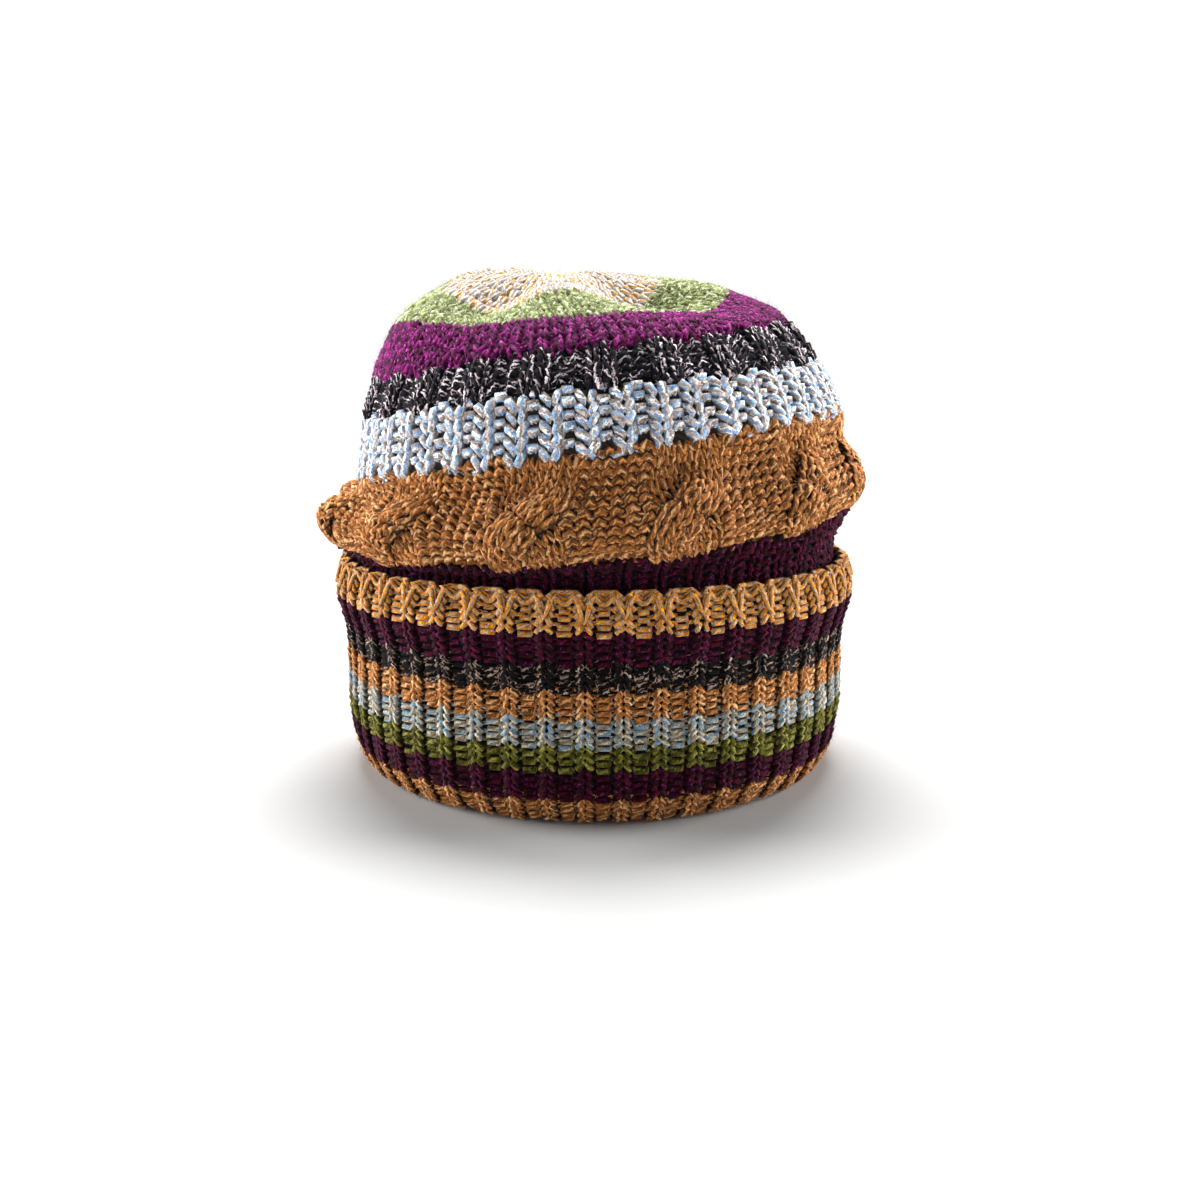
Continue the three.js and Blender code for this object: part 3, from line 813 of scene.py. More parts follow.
@dataclass
class Strands:
    """Yarn as arrays: closed tubes and fibres that become one mesh."""

    points: list[np.ndarray] = field(default_factory=list)
    quads: list[np.ndarray] = field(default_factory=list)
    quad_uvs: list[np.ndarray] = field(default_factory=list)
    triangles: list[np.ndarray] = field(default_factory=list)
    triangle_uvs: list[np.ndarray] = field(default_factory=list)
    count: int = 0

    def add_ring(
        self, path: np.ndarray, out: np.ndarray, radius: np.ndarray, sides: int, start: float = 0.0
    ) -> None:
        """Adds a closed tube along a closed path, whose section starts and ends at its back.

        Args:
            path: the points of its middle line.
            out: the fabric's outward direction at each of them.
            radius: the tube's radius at each of them.
            sides: how many sides its section has.
            start: metres along the yarn at which it starts.
        """
        steps = len(path)
        along = unit(np.roll(path, -1, axis=0) - np.roll(path, 1, axis=0))
        side = unit(np.cross(along, out))
        front = np.cross(side, along)
        turn = 2 * math.pi * np.arange(sides) / sides
        cosine, sine = np.cos(turn)[None, :, None], np.sin(turn)[None, :, None]
        ring = -cosine * front[:, None, :] - sine * side[:, None, :]
        self.points.append((path[:, None, :] + radius[:, None, None] * ring).reshape(-1, 3))
        i, k = np.meshgrid(np.arange(steps), np.arange(sides), indexing="ij")
        i_next, k_next = (i + 1) % steps, (k + 1) % sides
        corners = [i * sides + k, i * sides + k_next, i_next * sides + k_next, i_next * sides + k]
        self.quads.append(self.count + np.stack(corners, axis=-1).reshape(-1, 4))
        lengths = np.linalg.norm(np.roll(path, -1, axis=0) - path, axis=1)
        u = start + np.concatenate([[0.0], np.cumsum(lengths)])
        v = np.arange(sides + 1) / sides
        uv = [(u[i], v[k]), (u[i], v[k + 1]), (u[i + 1], v[k + 1]), (u[i + 1], v[k])]
        self.quad_uvs.append(np.stack([np.stack(pair, axis=-1) for pair in uv], axis=-2).reshape(-1, 4, 2))
        self.count += steps * sides

    def add_fibres(self, roots: np.ndarray, tips: np.ndarray, width: float, u: np.ndarray) -> None:
        """Adds thin three-sided fibres, each a closed sliver.

        Args:
            roots: where each starts, inside the yarn.
            tips: where each ends, in a point.
            width: how thick they are at the root.
            u: where each takes its colour along the yarn.
        """
        count = len(roots)
        skew = np.array([0.31, 0.17, 0.94])
        along = unit(tips - roots)
        side = unit(np.cross(along, skew))
        front = np.cross(side, along)
        turn = 2 * math.pi * np.arange(3) / 3
        cosine, sine = np.cos(turn)[None, :, None], np.sin(turn)[None, :, None]
        ring = cosine * front[:, None, :] + sine * side[:, None, :]
        low = roots[:, None, :] + 0.5 * width * ring
        self.points.append(np.concatenate([low, tips[:, None, :]], axis=1).reshape(-1, 3))
        shape = np.array([(0, 1, 3), (1, 2, 3), (2, 0, 3), (0, 2, 1)])
        faces = self.count + 4 * np.arange(count)[:, None, None] + shape[None, :, :]
        self.triangles.append(faces.reshape(-1, 3))
        # The fibres read the front of the yarn's map, so the painted shade on the yarn's back leaves them.
        flat = np.full((count, len(shape), 3, 2), 0.5)
        flat[..., 0] = u[:, None, None]
        self.triangle_uvs.append(flat.reshape(-1, 3, 2))
        self.count += 4 * count

    def to_object(self, name: str, material: bpy.types.Material) -> bpy.types.Object:
        """Makes one mesh object of all the strands, with the UV map that the yarn's finish reads.

        Args:
            name: the new piece's name.
            material: the yarn's finish.

        Returns:
            The new object, at the origin.
        """
        quads = np.concatenate(self.quads)
        triangles = np.concatenate(self.triangles) if self.triangles else np.zeros((0, 3), int)
        points = np.concatenate(self.points).astype(np.float32)
        loops = np.concatenate([quads.ravel(), triangles.ravel()]).astype(np.int32)
        starts = np.concatenate([4 * np.arange(len(quads)), 4 * len(quads) + 3 * np.arange(len(triangles))])
        mesh = bpy.data.meshes.new(name)
        mesh.vertices.add(len(points))
        mesh.vertices.foreach_set("co", points.ravel())
        mesh.loops.add(len(loops))
        mesh.loops.foreach_set("vertex_index", loops)
        mesh.polygons.add(len(starts))
        mesh.polygons.foreach_set("loop_start", starts.astype(np.int32))
        mesh.polygons.foreach_set("use_smooth", np.ones(len(starts), bool))
        uv = mesh.uv_layers.new(name="yarn")
        values = [array.reshape(-1, 2) for array in self.quad_uvs + self.triangle_uvs]
        uv.data.foreach_set("uv", np.concatenate(values).astype(np.float32).ravel())
        mesh.materials.append(material)
        mesh.update(calc_edges=True)
        mesh.validate()
        made = bpy.data.objects.new(name, mesh)
        bpy.context.scene.collection.objects.link(made)
        return made


class Pattern(Enum):
    """How knit (k) and purl (p) stitches follow each other round the cap.

    Each has its letters, its repeats, the middle of one knit group in degrees, and a knit stitch's width.
    """

    CUFF_RIB = ("kp", RIB_COUNT, CUFF_RIB_ANGLE, 0.88)
    ICE_RIB = ("kp", RIB_COUNT, BODY_RIB_ANGLE, 1.34)
    WIDE_RIB = ("kkpp", WIDE_RIB_COUNT, WIDE_RIB_ANGLE, 1.0)
    TUCK_RIB = ("kp", RIB_COUNT, CUFF_RIB_ANGLE, 1.0)
    CABLES = ("kkkkkkpppppp", CABLE_COUNT, CABLE_ANGLE, 1.0)
    PLAIN = ("k", PLAIN_COUNT, 0.0, 1.0)

    @property
    def letters(self) -> str:
        """The stitches of one repeat."""
        return self.value[0]

    def cells(self, stitches: int) -> tuple[np.ndarray, np.ndarray, np.ndarray]:
        """Lays out the stitches of a row.

        Args:
            stitches: how many a plain row has; a pattern with repeats keeps its own number.

        Returns:
            Each stitch's middle and width in degrees, and 1 for knit or -1 for purl.
        """
        letters, repeats, crest, knit_width = self.value
        if self is Pattern.PLAIN:
            repeats = stitches
        widths = np.array([knit_width if letter == "k" else 2 - knit_width for letter in letters])
        widths = widths * (FULL_TURN / repeats) / widths.sum()
        knits = widths[: letters.count("k")].sum()
        starts = np.concatenate([[0.0], np.cumsum(widths)[:-1]])
        first = crest - knits / 2 + starts + widths / 2
        middles = (first[None, :] + FULL_TURN / repeats * np.arange(repeats)[:, None]).ravel()
        signs = np.tile([1.0 if letter == "k" else -1.0 for letter in letters], repeats)
        return middles, np.tile(widths, repeats), signs


def ribs(angle: np.ndarray, crest: float, count: int, depth: float) -> np.ndarray:
    """Gives how deep the fabric lies below its surface, in crests and grooves all the way round."""
    return -0.5 * depth * (1 - np.cos(np.radians((angle - crest) * count)))


def cuff_relief(angle: np.ndarray, place: np.ndarray) -> np.ndarray:
    """Gives the relief of the cuff's narrow ribs."""
    return ribs(angle, CUFF_RIB_ANGLE, RIB_COUNT, RIB_DEPTH)


def ice_relief(angle: np.ndarray, place: np.ndarray) -> np.ndarray:
    """Gives the relief of the ice stripe's ribs."""
    return ribs(angle, BODY_RIB_ANGLE, RIB_COUNT, RIB_DEPTH)


def wide_relief(angle: np.ndarray, place: np.ndarray) -> np.ndarray:
    """Gives the relief of the charcoal stripe's wide ribs."""
    return ribs(angle, WIDE_RIB_ANGLE, WIDE_RIB_COUNT, WIDE_RIB_DEPTH)


def plain_relief(angle: np.ndarray, place: np.ndarray) -> np.ndarray:
    """Gives no relief, for plain knitting."""
    return np.zeros_like(angle)


def cable_relief(angle: np.ndarray, place: np.ndarray) -> np.ndarray:
    """Gives the relief of the cables: a raised panel each, highest where its strands cross.

    Args:
        angle: degrees round the cap.
        place: places between levels.

    Returns:
        How far the fabric stands out of its surface, in metres.
    """
    pitch = FULL_TURN / CABLE_COUNT
    from_middle = turn_between(angle * CABLE_COUNT, CABLE_ANGLE * CABLE_COUNT) / CABLE_COUNT
    across = 1 - smooth_step(np.abs(from_middle), CABLE_HALF_WIDTH * CABLE_FLANK, pitch / 2)
    upward = CABLE_LEAST + (1 - CABLE_LEAST) * bell((place - CABLE_FOLD_PLACE) / CABLE_FOLD_REACH)
    hollow = CABLE_HOLLOW * bell((place - CABLE_HOLLOW_PLACE) / CABLE_HOLLOW_REACH)
    return CABLE_RELIEF * (across * upward - CABLE_BASE) - hollow


# How many columns each of the two groups of a cable has.
GROUP = 3


@dataclass
class Crossing:
    """Where each cable's three left columns cross over its three right ones.

    Each group of three runs on along a line that leans over and back again, with its columns side by side
    across that line, so that they stay close together.

    Args:
        row: the row at which the two groups cross.
        spread: how many rows the crossing takes either way.
        aspect: a stitch's width as a share of a row's height.
        lift: how far the upper group stands out of the fabric.
        sink: how far the lower group lies below it.
        draw: how far the purl panel's edge is drawn into the cable, in stitches.
        widen: how much wider the upper group is where it crosses, as a share of its width.
        fade: how far along the crossing the lift and the sinking reach, in spreads.
        close: how wide the groups' columns lie side by side, as a share of their width elsewhere.
        skew: how far a leaning column moves along its group, as a share of the lean.
        rounding: how much lower the edges of the upper group lie than its middle column.
        edge: how far from the middle column its edge is, in stitches.
        ridge_width: half the width of the swelling in the ground below it, in stitches.
    """

    row: float = 12.6
    spread: float = 3.1
    aspect: float = 1.4
    lift: float = 4.2 * MM
    sink: float = 1.4 * MM
    draw: float = 0.9
    widen: float = 0.12
    fade: float = 1.35
    close: float = 1.04
    skew: float = 0.85
    rounding: float = 0.75
    edge: float = 1.6
    ridge_width: float = 2.2

    def lay(self, across: np.ndarray, row: np.ndarray, own: np.ndarray) -> tuple[np.ndarray, ...]:
        """Moves points of the yarn to where the crossing takes them.

        Args:
            across: each point's place in its repeat, in stitches, from the cable's to the purl panel's.
            row: each point's row.
            own: the place in the repeat of the middle of each point's own stitch.

        Returns:
            The new place across, the new row and how far the point moves out of the fabric, in metres.
        """
        left, right = own < GROUP, (own >= GROUP) & (own < 2 * GROUP)
        middle = np.where(left, GROUP / 2, 3 * GROUP / 2)
        share = (row - self.row) / self.spread
        half = 0.5 * np.clip(1 - np.abs(share), 0, 1)
        ease = 2 * half * half * (3 - 2 * half)
        inward = np.where(left, 1.0, -1.0)
        steepness = 3 * GROUP * half * (1 - half) / self.spread * self.aspect
        slope = steepness * inward * np.where(share < 0, 1, -1)
        slope = np.where(np.abs(share) < 1, slope, 0.0)
        beside = across - middle
        swell = bell(share / self.fade)
        over = np.where(share < 0, left, right)
        crown = 1 - self.rounding * (beside / self.edge) ** 2
        scale = (1 + np.where(over, self.widen, 0.0) * swell) / np.sqrt(1 + slope * slope)
        new_across = middle + GROUP / 2 * inward * ease + beside * scale * self.close
        new_row = row - beside * slope * scale * self.aspect * self.skew
        out = np.where(over, self.lift * swell * crown, -self.sink * swell)
        panel = across - self.draw * ease * (3 * GROUP - own) / GROUP
        knit = left | right
        return np.where(knit, new_across, panel), np.where(knit, new_row, row), np.where(knit, out, 0.0)

    def ridge(self, across: np.ndarray, row: np.ndarray) -> np.ndarray:
        """Gives how far the ground stands out under the upper group, which leans over the cable.

        Args:
            across: each point's place in its repeat, in stitches.
            row: each point's row.

        Returns:
            The distance at each point, in metres.
        """
        share = (row - self.row) / self.spread
        part = np.clip(0.5 + 0.5 * share, 0, 1)
        middle = GROUP / 2 + GROUP * part * part * (3 - 2 * part)
        beside = np.clip(1 - np.abs(across - middle) / self.ridge_width, 0, 1)
        return self.lift * bell(share / self.fade) * beside


@dataclass
class Stripe:
    """One stripe of knitting: its rows of yarn, and the ground that stands for its solid.

    Args:
        node: the solid that it dresses.
        yarn: what it is knitted from.
        fabric: the surface that it lies on.
        low, high: its first and last level, by name.
        pattern: how its stitches follow each other.
        relief: its ribs or cables, from angle and place.
        wall: the fabric's thickness.
        turned: whether the fabric is upside down, as on the turned-up cuff.
        stitches: how many each row has, where the pattern is plain.
        sides, steps: sides of the yarn's section, and steps along it for each stitch.
        reach: half the height of a loop, in rows.
        bulge: how far a loop bends out of the fabric and into it.
        neck: how much a loop narrows at its foot.
        lean: how far a loop leans, in stitches.
        crossing: where the cables cross, if it has them.
        inner: the levels' steps of the ground.
        rib_gain: how much deeper the stitches' ribs are than the solid's.
        ground_gain: how much deeper the ground's ribs are than the solid's.
        purl_share: the radius of a purl stitch's yarn, as a share of a knit stitch's.
        plump: how much thicker the yarn shows here than its usual radius.
        swell: how much thicker the yarn is at the front of a stitch than behind it.
        set_in: how far the stitches lie inside the solid's surface.
        twist: how many degrees the columns turn from the stripe's foot to its top.
        flare: how far the legs of the knit columns open towards the stripe's top, as a share of a repeat.
        uneven: how much its loops differ from each other; 1 is even machine knitting.
        heads: how much further out the head of a purl stitch lies than its foot, as a share of the bulge.
        phase: where the yarn's points start in each stitch, in steps; 0 puts one on the stitch's edge.
        ground_points: how many points go round the ground.
        sunk: how far the ground lies below the crests of the stitches.
        thin: the least thickness of the ground.
        seed: where the stripe's chance starts.
    """

    node: str
    yarn: Yarn
    fabric: Fabric
    low: str
    high: str
    pattern: Pattern
    relief: Callable[[np.ndarray, np.ndarray], np.ndarray]
    wall: float
    turned: bool = False
    stitches: tuple[int, ...] = (PLAIN_COUNT,)
    sides: int = 5
    steps: int = 9
    reach: float = 0.85
    bulge: float = 0.95 * MM
    neck: float = 0.95
    lean: float = 0.06
    crossing: Crossing | None = None
    inner: int = 4
    rib_gain: float = 1.9
    ground_gain: float = 1.0
    purl_share: float = 0.88
    plump: float = 1.0
    swell: float = 0.14
    set_in: float = 0.0
    twist: float = 0.0
    flare: float = 0.0
    uneven: float = 1.0
    heads: float = 0.15
    phase: float = 0.5
    ground_points: int = 96
    sunk: float = 2.1 * MM
    thin: float = 0.6 * MM
    seed: int = 1

    def level(self, name: str) -> int:
        """Gives the place in the table of the level with a name."""
        return [level.name for level in self.fabric.levels].index(name)

    def turn_at(self, place: np.ndarray) -> np.ndarray:
        """Gives how many degrees the columns have turned at each place, from the stripe's middle."""
        low, high = self.level(self.low), self.level(self.high)
        return self.twist * ((place - low) / (high - low) - 0.5)

    def opened(self, angle: np.ndarray, row: np.ndarray) -> np.ndarray:
        """Gives how far the yarn moves away from the middles of the knit columns.

        Args:
            angle: degrees round the cap.
            row: each point's row.

        Returns:
            The degrees that each point moves.
        """
        rows = self.row_range()
        share = np.clip((row - rows[0] - 1) / (len(rows) - 1.5), 0, 1)
        _, repeats, crest, _ = self.pattern.value
        return self.flare * share * FULL_TURN / repeats * np.sin(np.radians((angle - crest) * repeats))

    def row_range(self) -> range:
        """Gives the stripe's rows."""
        rows = np.interp([self.level(self.low), self.level(self.high)], self.fabric.places, self.fabric.rows)
        return range(round(rows[0]), round(rows[1]))

    def row_path(self, row: int, number: int, chance: np.random.Generator) -> tuple[np.ndarray, ...]:
        """Bends one row of yarn into its stitches.

        Args:
            row: the row in the fabric.
            number: the row in the stripe.
            chance: where the hand's unevenness is drawn from.

        Returns:
            The points of the yarn's middle line, the fabric's outward direction there and the yarn's radius.
        """
        count = self.stitches[min(number, len(self.stitches) - 1)]
        middles, widths, signs = self.pattern.cells(count)
        cells = len(middles)
        t = np.broadcast_to((np.arange(self.steps) + self.phase) / self.steps, (cells, self.steps))
        uneven = self.uneven * chance.normal(0, 1, (4, cells, 1))
        turn = 2 * math.pi * t
        across = t - 0.5 + self.neck / (2 * math.pi) * np.sin(2 * turn) * (1 + HAND_NECK * uneven[0])
        upward = -np.cos(turn)
        across = across + self.lean * upward
        rise = self.reach * upward * (1 + HAND_RISE * uneven[1]) + HAND_PLACE * uneven[2]
        if self.turned:
            across, rise = -across, -rise
        before, after = np.roll(signs, 1)[:, None], np.roll(signs, -1)[:, None]
        own = signs[:, None]
        sign = own + (0.5 * (before + own) - own) * (1 - smooth_step(t, 0.0, BLEND_SHARE))
        sign = sign + (0.5 * (after + own) - own) * smooth_step(t, 1 - BLEND_SHARE, 1.0)
        depth = self.bulge * (-np.cos(2 * turn)) * sign * (1 + HAND_DEPTH * uneven[3])
        purl = 0.5 * (1 - sign)
        depth = depth + self.heads * self.bulge * upward * purl
        if self.turned:
            across, rise, depth = across[:, ::-1], rise[:, ::-1], depth[:, ::-1]
        angle = middles[:, None] + across * widths[:, None]
        row_at = row + 0.5 + rise
        push = np.zeros_like(angle)
        if self.crossing:
            repeat = len(self.pattern.letters)
            own = np.broadcast_to(np.tile(np.arange(repeat), cells // repeat)[:, None] + 0.5, angle.shape)
            moved, row_at, push = self.crossing.lay(own + across, row_at, own)
            angle = middles[:, None] + (moved - own) * widths[:, None]
        slow_wave = np.sin(np.radians(5 * angle) + 1.7 * self.seed)
        quick_wave = np.sin(np.radians(11 * angle) + row)
        wobble = SLOW_WAVE * slow_wave + QUICK_WAVE * quick_wave
        thick = self.plump * self.yarn.radius * (1 - (1 - self.purl_share) * purl)
        thick = thick * (1 - self.swell * np.cos(2 * turn) * sign) * (1 + HEAD_SWELL * upward * purl)
        if self.turned:
            thick = thick[:, ::-1]
        lines = (angle, row_at + wobble, depth, push, thick)
        angle, row_at, depth, push, thick = [line.ravel() for line in lines]
        angle = angle + self.opened(angle, row_at)
        place = self.fabric.place_of_row(row_at)
        turned = angle + self.turn_at(place)
        out, _ = self.fabric.directions(turned, place)
        surface = self.fabric.point(turned, place)
        height = self.rib_gain * self.relief(angle, place) + depth + push - self.set_in
        height = height - self.plump * self.yarn.radius - self.bulge
        path = surface + out * height[:, None]
        path[:, 2] = np.maximum(path[:, 2], self.yarn.radius)
        return path, out, thick

    def make_stitches(self) -> Strands:
        """Knits every row of the stripe, with stray fibres standing out of the yarn.

        Returns:
            The stripe's yarn.
        """
        chance = np.random.default_rng(self.seed)
        strands = Strands()
        paths, outs = [], []
        for number, row in enumerate(self.row_range()):
            path, out, thick = self.row_path(row, number, chance)
            swell = 1 + HAND_THICKNESS * chance.normal(0, 1, len(path) // self.steps).repeat(self.steps)
            radius = thick * np.clip(swell, *THICKNESS_RANGE)
            strands.add_ring(path, out, radius, self.sides, chance.uniform(0, 1))
            paths.append(path)
            outs.append(out)
        self.add_fuzz(strands, np.concatenate(paths), np.concatenate(outs), chance)
        return strands

    def add_fuzz(
        self, strands: Strands, path: np.ndarray, out: np.ndarray, chance: np.random.Generator
    ) -> None:
        """Adds the stray fibres that stand out of the yarn, most of them short.

        Args:
            strands: the stripe's yarn, which they join.
            path: points of the yarn's middle line.
            out: the fabric's outward direction at each of them.
            chance: where the fibres' places and lengths are drawn from.
        """
        area = 0.0
        for row in self.row_range():
            place = self.fabric.place_of_row(np.array([row + 0.5]))
            radius = self.fabric.radius * self.fabric.column("radius", place)[0]
            area += 2 * math.pi * radius * self.fabric.row_height(row + 0.5)
        count = int(self.yarn.fuzz * area * SQUARE_CM_IN_M2)
        pick = chance.integers(0, len(path), count)
        way = unit(out[pick] * FUZZ_LEAN + unit(chance.normal(0, 1, (count, 3))))
        inward = (way * out[pick]).sum(axis=1) < 0
        way[inward] -= 2 * (way[inward] * out[pick][inward]).sum(axis=1)[:, None] * out[pick][inward]
        length = self.yarn.fuzz_length * np.exp(FUZZ_SPREAD * chance.normal(0, 1, count))[:, None]
        roots = path[pick] + FUZZ_ROOT * self.yarn.radius * out[pick]
        tips = roots + length * way
        roots[:, 2] = np.maximum(roots[:, 2], ROOT_HEIGHT)
        tips[:, 2] = np.maximum(tips[:, 2], TIP_HEIGHT)
        strands.add_fibres(roots, tips, FIBRE_WIDTH, chance.uniform(0, 1, count))

    def ring(self, place: float, count: int, inside: bool, up: float) -> np.ndarray:
        """Gives a ring of the ground's points.

        Args:
            place: the ring's place in the table of levels.
            count: how many points it has.
            inside: whether it lies on the ground's inside.
            up: how far it is moved up along the fabric, in metres.

        Returns:
            An array of points, in metres.
        """
        angle = self.pattern.value[2] + FULL_TURN * np.arange(count) / count
        places = np.full(count, float(place))
        turned = angle + self.turn_at(places)
        out, along = self.fabric.directions(turned, places)
        height = self.ground_gain * self.relief(angle, places) - self.sunk
        if self.crossing:
            letters, repeats, crest, _ = self.pattern.value
            across = ((angle - crest) * repeats / FULL_TURN % 1) * len(letters) + letters.count("k") / 2
            row = np.interp(places, self.fabric.places, self.fabric.rows)
            height = height + self.crossing.ridge(across % len(letters), row)
        if inside:
            height = np.minimum(height - self.thin, -self.wall)
        return self.fabric.point(turned, places) + out * height[:, None] + along * up

    def ground_rings(self) -> list[np.ndarray]:
        """Gives the rings of the ground, which are drawn to a point at the cap's pole.

        Returns:
            Rings of points, up the ground's outside and down its inside.
        """
        low, high = self.level(self.low), self.level(self.high)
        steps = np.linspace(low, high, self.inner + 1)
        lift = [YARN_GAP / 2] + [0.0] * (self.inner - 1) + [-YARN_GAP / 2]
        count = self.ground_points
        if high == len(self.fabric.levels) - 1:
            steps[-1] -= POLE_GAP
        outside = [self.ring(place, count, False, up) for place, up in zip(steps, lift)]
        inside = [self.ring(place, count, True, up) for place, up in zip(steps[::-1], lift[::-1])]
        if high == len(self.fabric.levels) - 1:
            outside[-1][:] = outside[-1].mean(axis=0)
            inside[0][:] = inside[0].mean(axis=0)
        return outside + inside

    def build(self, body: str) -> None:
        """Makes the stripe's two pieces, dresses them, sets what they ride on, and hides the solid that they stand
        for.

        Args:
            body: the body that they ride on.
        """
        strands = self.make_stitches()
        stitches = strands.to_object(self.node + "_stitches", self.yarn.material())
        ground = loft(self.node + "_ground", self.ground_rings())
        ground.data.materials.append(self.yarn.ground())
        for piece in (stitches, ground):
            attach(piece, body)
        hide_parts(self.node)
        triangles = triangles_of(stitches)
        LOG.info("%s: %d rows, %d triangles of yarn", self.node, len(self.row_range()), triangles)


def triangles_of(piece: bpy.types.Object) -> int:
    """Counts a piece's triangles.

    Args:
        piece: a mesh object.

    Returns:
        How many triangles its faces make.
    """
    counts = np.zeros(len(piece.data.polygons), dtype=np.int32)
    piece.data.polygons.foreach_get("loop_total", counts)
    return int((counts - 2).sum())


def loft(name: str, rings: list[np.ndarray]) -> bpy.types.Object:
    """Grows a closed band through rings of points by extruding a circle, and joins its two ends.

    Args:
        name: the new piece's name.
        rings: arrays of as many points each, from the first ring to the last.

    Returns:
        The new object.
    """
    shape = bmesh.new()
    around = shape.verts.layers.int.new("around")
    circle = bmesh.ops.create_circle(shape, segments=len(rings[0]), radius=1.0)["verts"]
    for i, vertex in enumerate(circle):
        vertex[around] = i
        vertex.co = Vector(rings[0][i])
    first = list(shape.edges)
    edges = first
    for points in rings[1:]:
        grown = bmesh.ops.extrude_edge_only(shape, edges=edges)["geom"]
        fresh = {item for item in grown if isinstance(item, bmesh.types.BMVert)}
        lines = [item for item in grown if isinstance(item, bmesh.types.BMEdge)]
        edges = [line for line in lines if set(line.verts) <= fresh]
        for vertex in fresh:
            vertex.co = Vector(points[vertex[around]])
    bmesh.ops.bridge_loops(shape, edges=first + edges)
    # The points that meet at the cap's pole become one.
    bmesh.ops.remove_doubles(shape, verts=shape.verts, dist=MERGE_DISTANCE)
    loose = [edge for edge in shape.edges if not edge.link_faces]
    bmesh.ops.delete(shape, geom=loose, context="EDGES")
    bmesh.ops.recalc_face_normals(shape, faces=shape.faces)
    mesh = bpy.data.meshes.new(name)
    shape.to_mesh(mesh)
    shape.free()
    mesh.polygons.foreach_set("use_smooth", np.ones(len(mesh.polygons), bool))
    made = bpy.data.objects.new(name, mesh)
    bpy.context.scene.collection.objects.link(made)
    return made


@dataclass(frozen=True)
class EdgeYarn:
    """One yarn of the cast-on edge.

    Args:
        row: the row that it lies along.
        dip: how many rows it dips in the middle of each knit column.
        peak: how many rows it rises beside that.
        out: how far it stands out of the cuff, in metres.
    """

    row: float
    dip: float
    peak: float
    out: float


@dataclass
class TurnedCuff:
    """The ribbed cuff, turned up so that its fabric is upside down.

    Args:
        stripes: the solid, yarn, first and last level of each stripe, from the hem to the cast-on edge.
        edge_yarns: the yarns along the rim, from its top down the outside.
        arm: how far beside the middle of a knit column the edge yarns rise, as a share of a repeat.
        arm_width: how wide their dips and peaks are, as a share of a repeat.
        edge_steps: points of an edge yarn in each repeat.
        edge_radius: the edge yarns' radius, as a share of the yarn's usual one.
        edge_rib_gain: how much deeper their ribs are than the solid's.
        edge_uneven: how much their dips differ from each other.
        open_legs: how far the legs of the top stripe's knit columns open, as a share of a repeat.
    """

    stripes: tuple[tuple[str, Yarn, str, str], ...] = (
        ("cuff_hem", CAMEL, "hem_foot", "hem_top"),
        ("cuff_plum_lower", PLUM, "hem_top", "plum_lower_top"),
        ("cuff_green", GREEN, "plum_lower_top", "green_top"),
        ("cuff_ice", PAINTED_SHADE_ICE, "green_top", "ice_top"),
        ("cuff_camel", CAMEL, "ice_top", "camel_top"),
        ("cuff_charcoal", PAINTED_SHADE_CHARCOAL, "camel_top", "charcoal_top"),
        ("cuff_plum_upper", PLUM, "charcoal_top", "plum_upper_top"),
        ("cuff_mustard_edge", MUSTARD, "plum_upper_top", "cast_on"),
    )

    edge_yarns: tuple[EdgeYarn, ...] = (
        EdgeYarn(30.7, 1.9, 0.9, 0.4 * MM),
        EdgeYarn(31.2, 1.2, 0.6, -0.5 * MM),
        EdgeYarn(31.7, 0.5, 0.2, -1.5 * MM),
    )
    arm: float = 0.24
    arm_width: float = 0.11
    edge_steps: int = 12
    edge_radius: float = 0.95
    edge_rib_gain: float = 1.9
    edge_uneven: float = 0.12
    open_legs: float = 0.15

    def build(self, body: str) -> None:
        """Makes the cuff's stripes and its edge.

        Args:
            body: the body that they ride on.
        """
        for i, (node, yarn, low, high) in enumerate(self.stripes):
            Stripe(
                node, yarn, CUFF, low, high, Pattern.CUFF_RIB, cuff_relief, CUFF_WALL,
                turned=True, seed=10 + i, inner=2, steps=8, neck=1.7, lean=0.02,
                flare=self.open_legs if high == "cast_on" else 0.0,
            ).build(body)
        edge = self.cast_on().to_object("cuff_cast_on_edge", MUSTARD.material())
        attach(edge, body)

    def cast_on(self) -> Strands:
        """Lays the cast-on yarns along the rim: each dips between the legs of every knit column.

        Returns:
            The yarns of the edge.
        """
        chance = np.random.default_rng(9)
        strands = Strands()
        count = RIB_COUNT * self.edge_steps
        angle = CUFF_RIB_ANGLE + FULL_TURN * np.arange(count) / count
        near = np.abs(turn_between((angle - CUFF_RIB_ANGLE) * RIB_COUNT, 0)) / FULL_TURN
        column = np.round(np.arange(count) / self.edge_steps).astype(int) % RIB_COUNT
        for yarn in self.edge_yarns:
            uneven = chance.normal(0, self.edge_uneven, RIB_COUNT)[column]
            row_at = yarn.row - yarn.dip * bell(near / self.arm_width) * (1 + uneven)
            row_at = row_at + yarn.peak * bell((near - self.arm) / self.arm_width)
            place = CUFF.place_of_row(row_at)
            out, _ = CUFF.directions(angle, place)
            height = self.edge_rib_gain * cuff_relief(angle, place) + yarn.out - MUSTARD.radius
            path = CUFF.point(angle, place) + out * height[:, None]
            radius = np.full(len(path), self.edge_radius * MUSTARD.radius)
            strands.add_ring(path, out, radius, 5, chance.uniform(0, 1))
        return strands


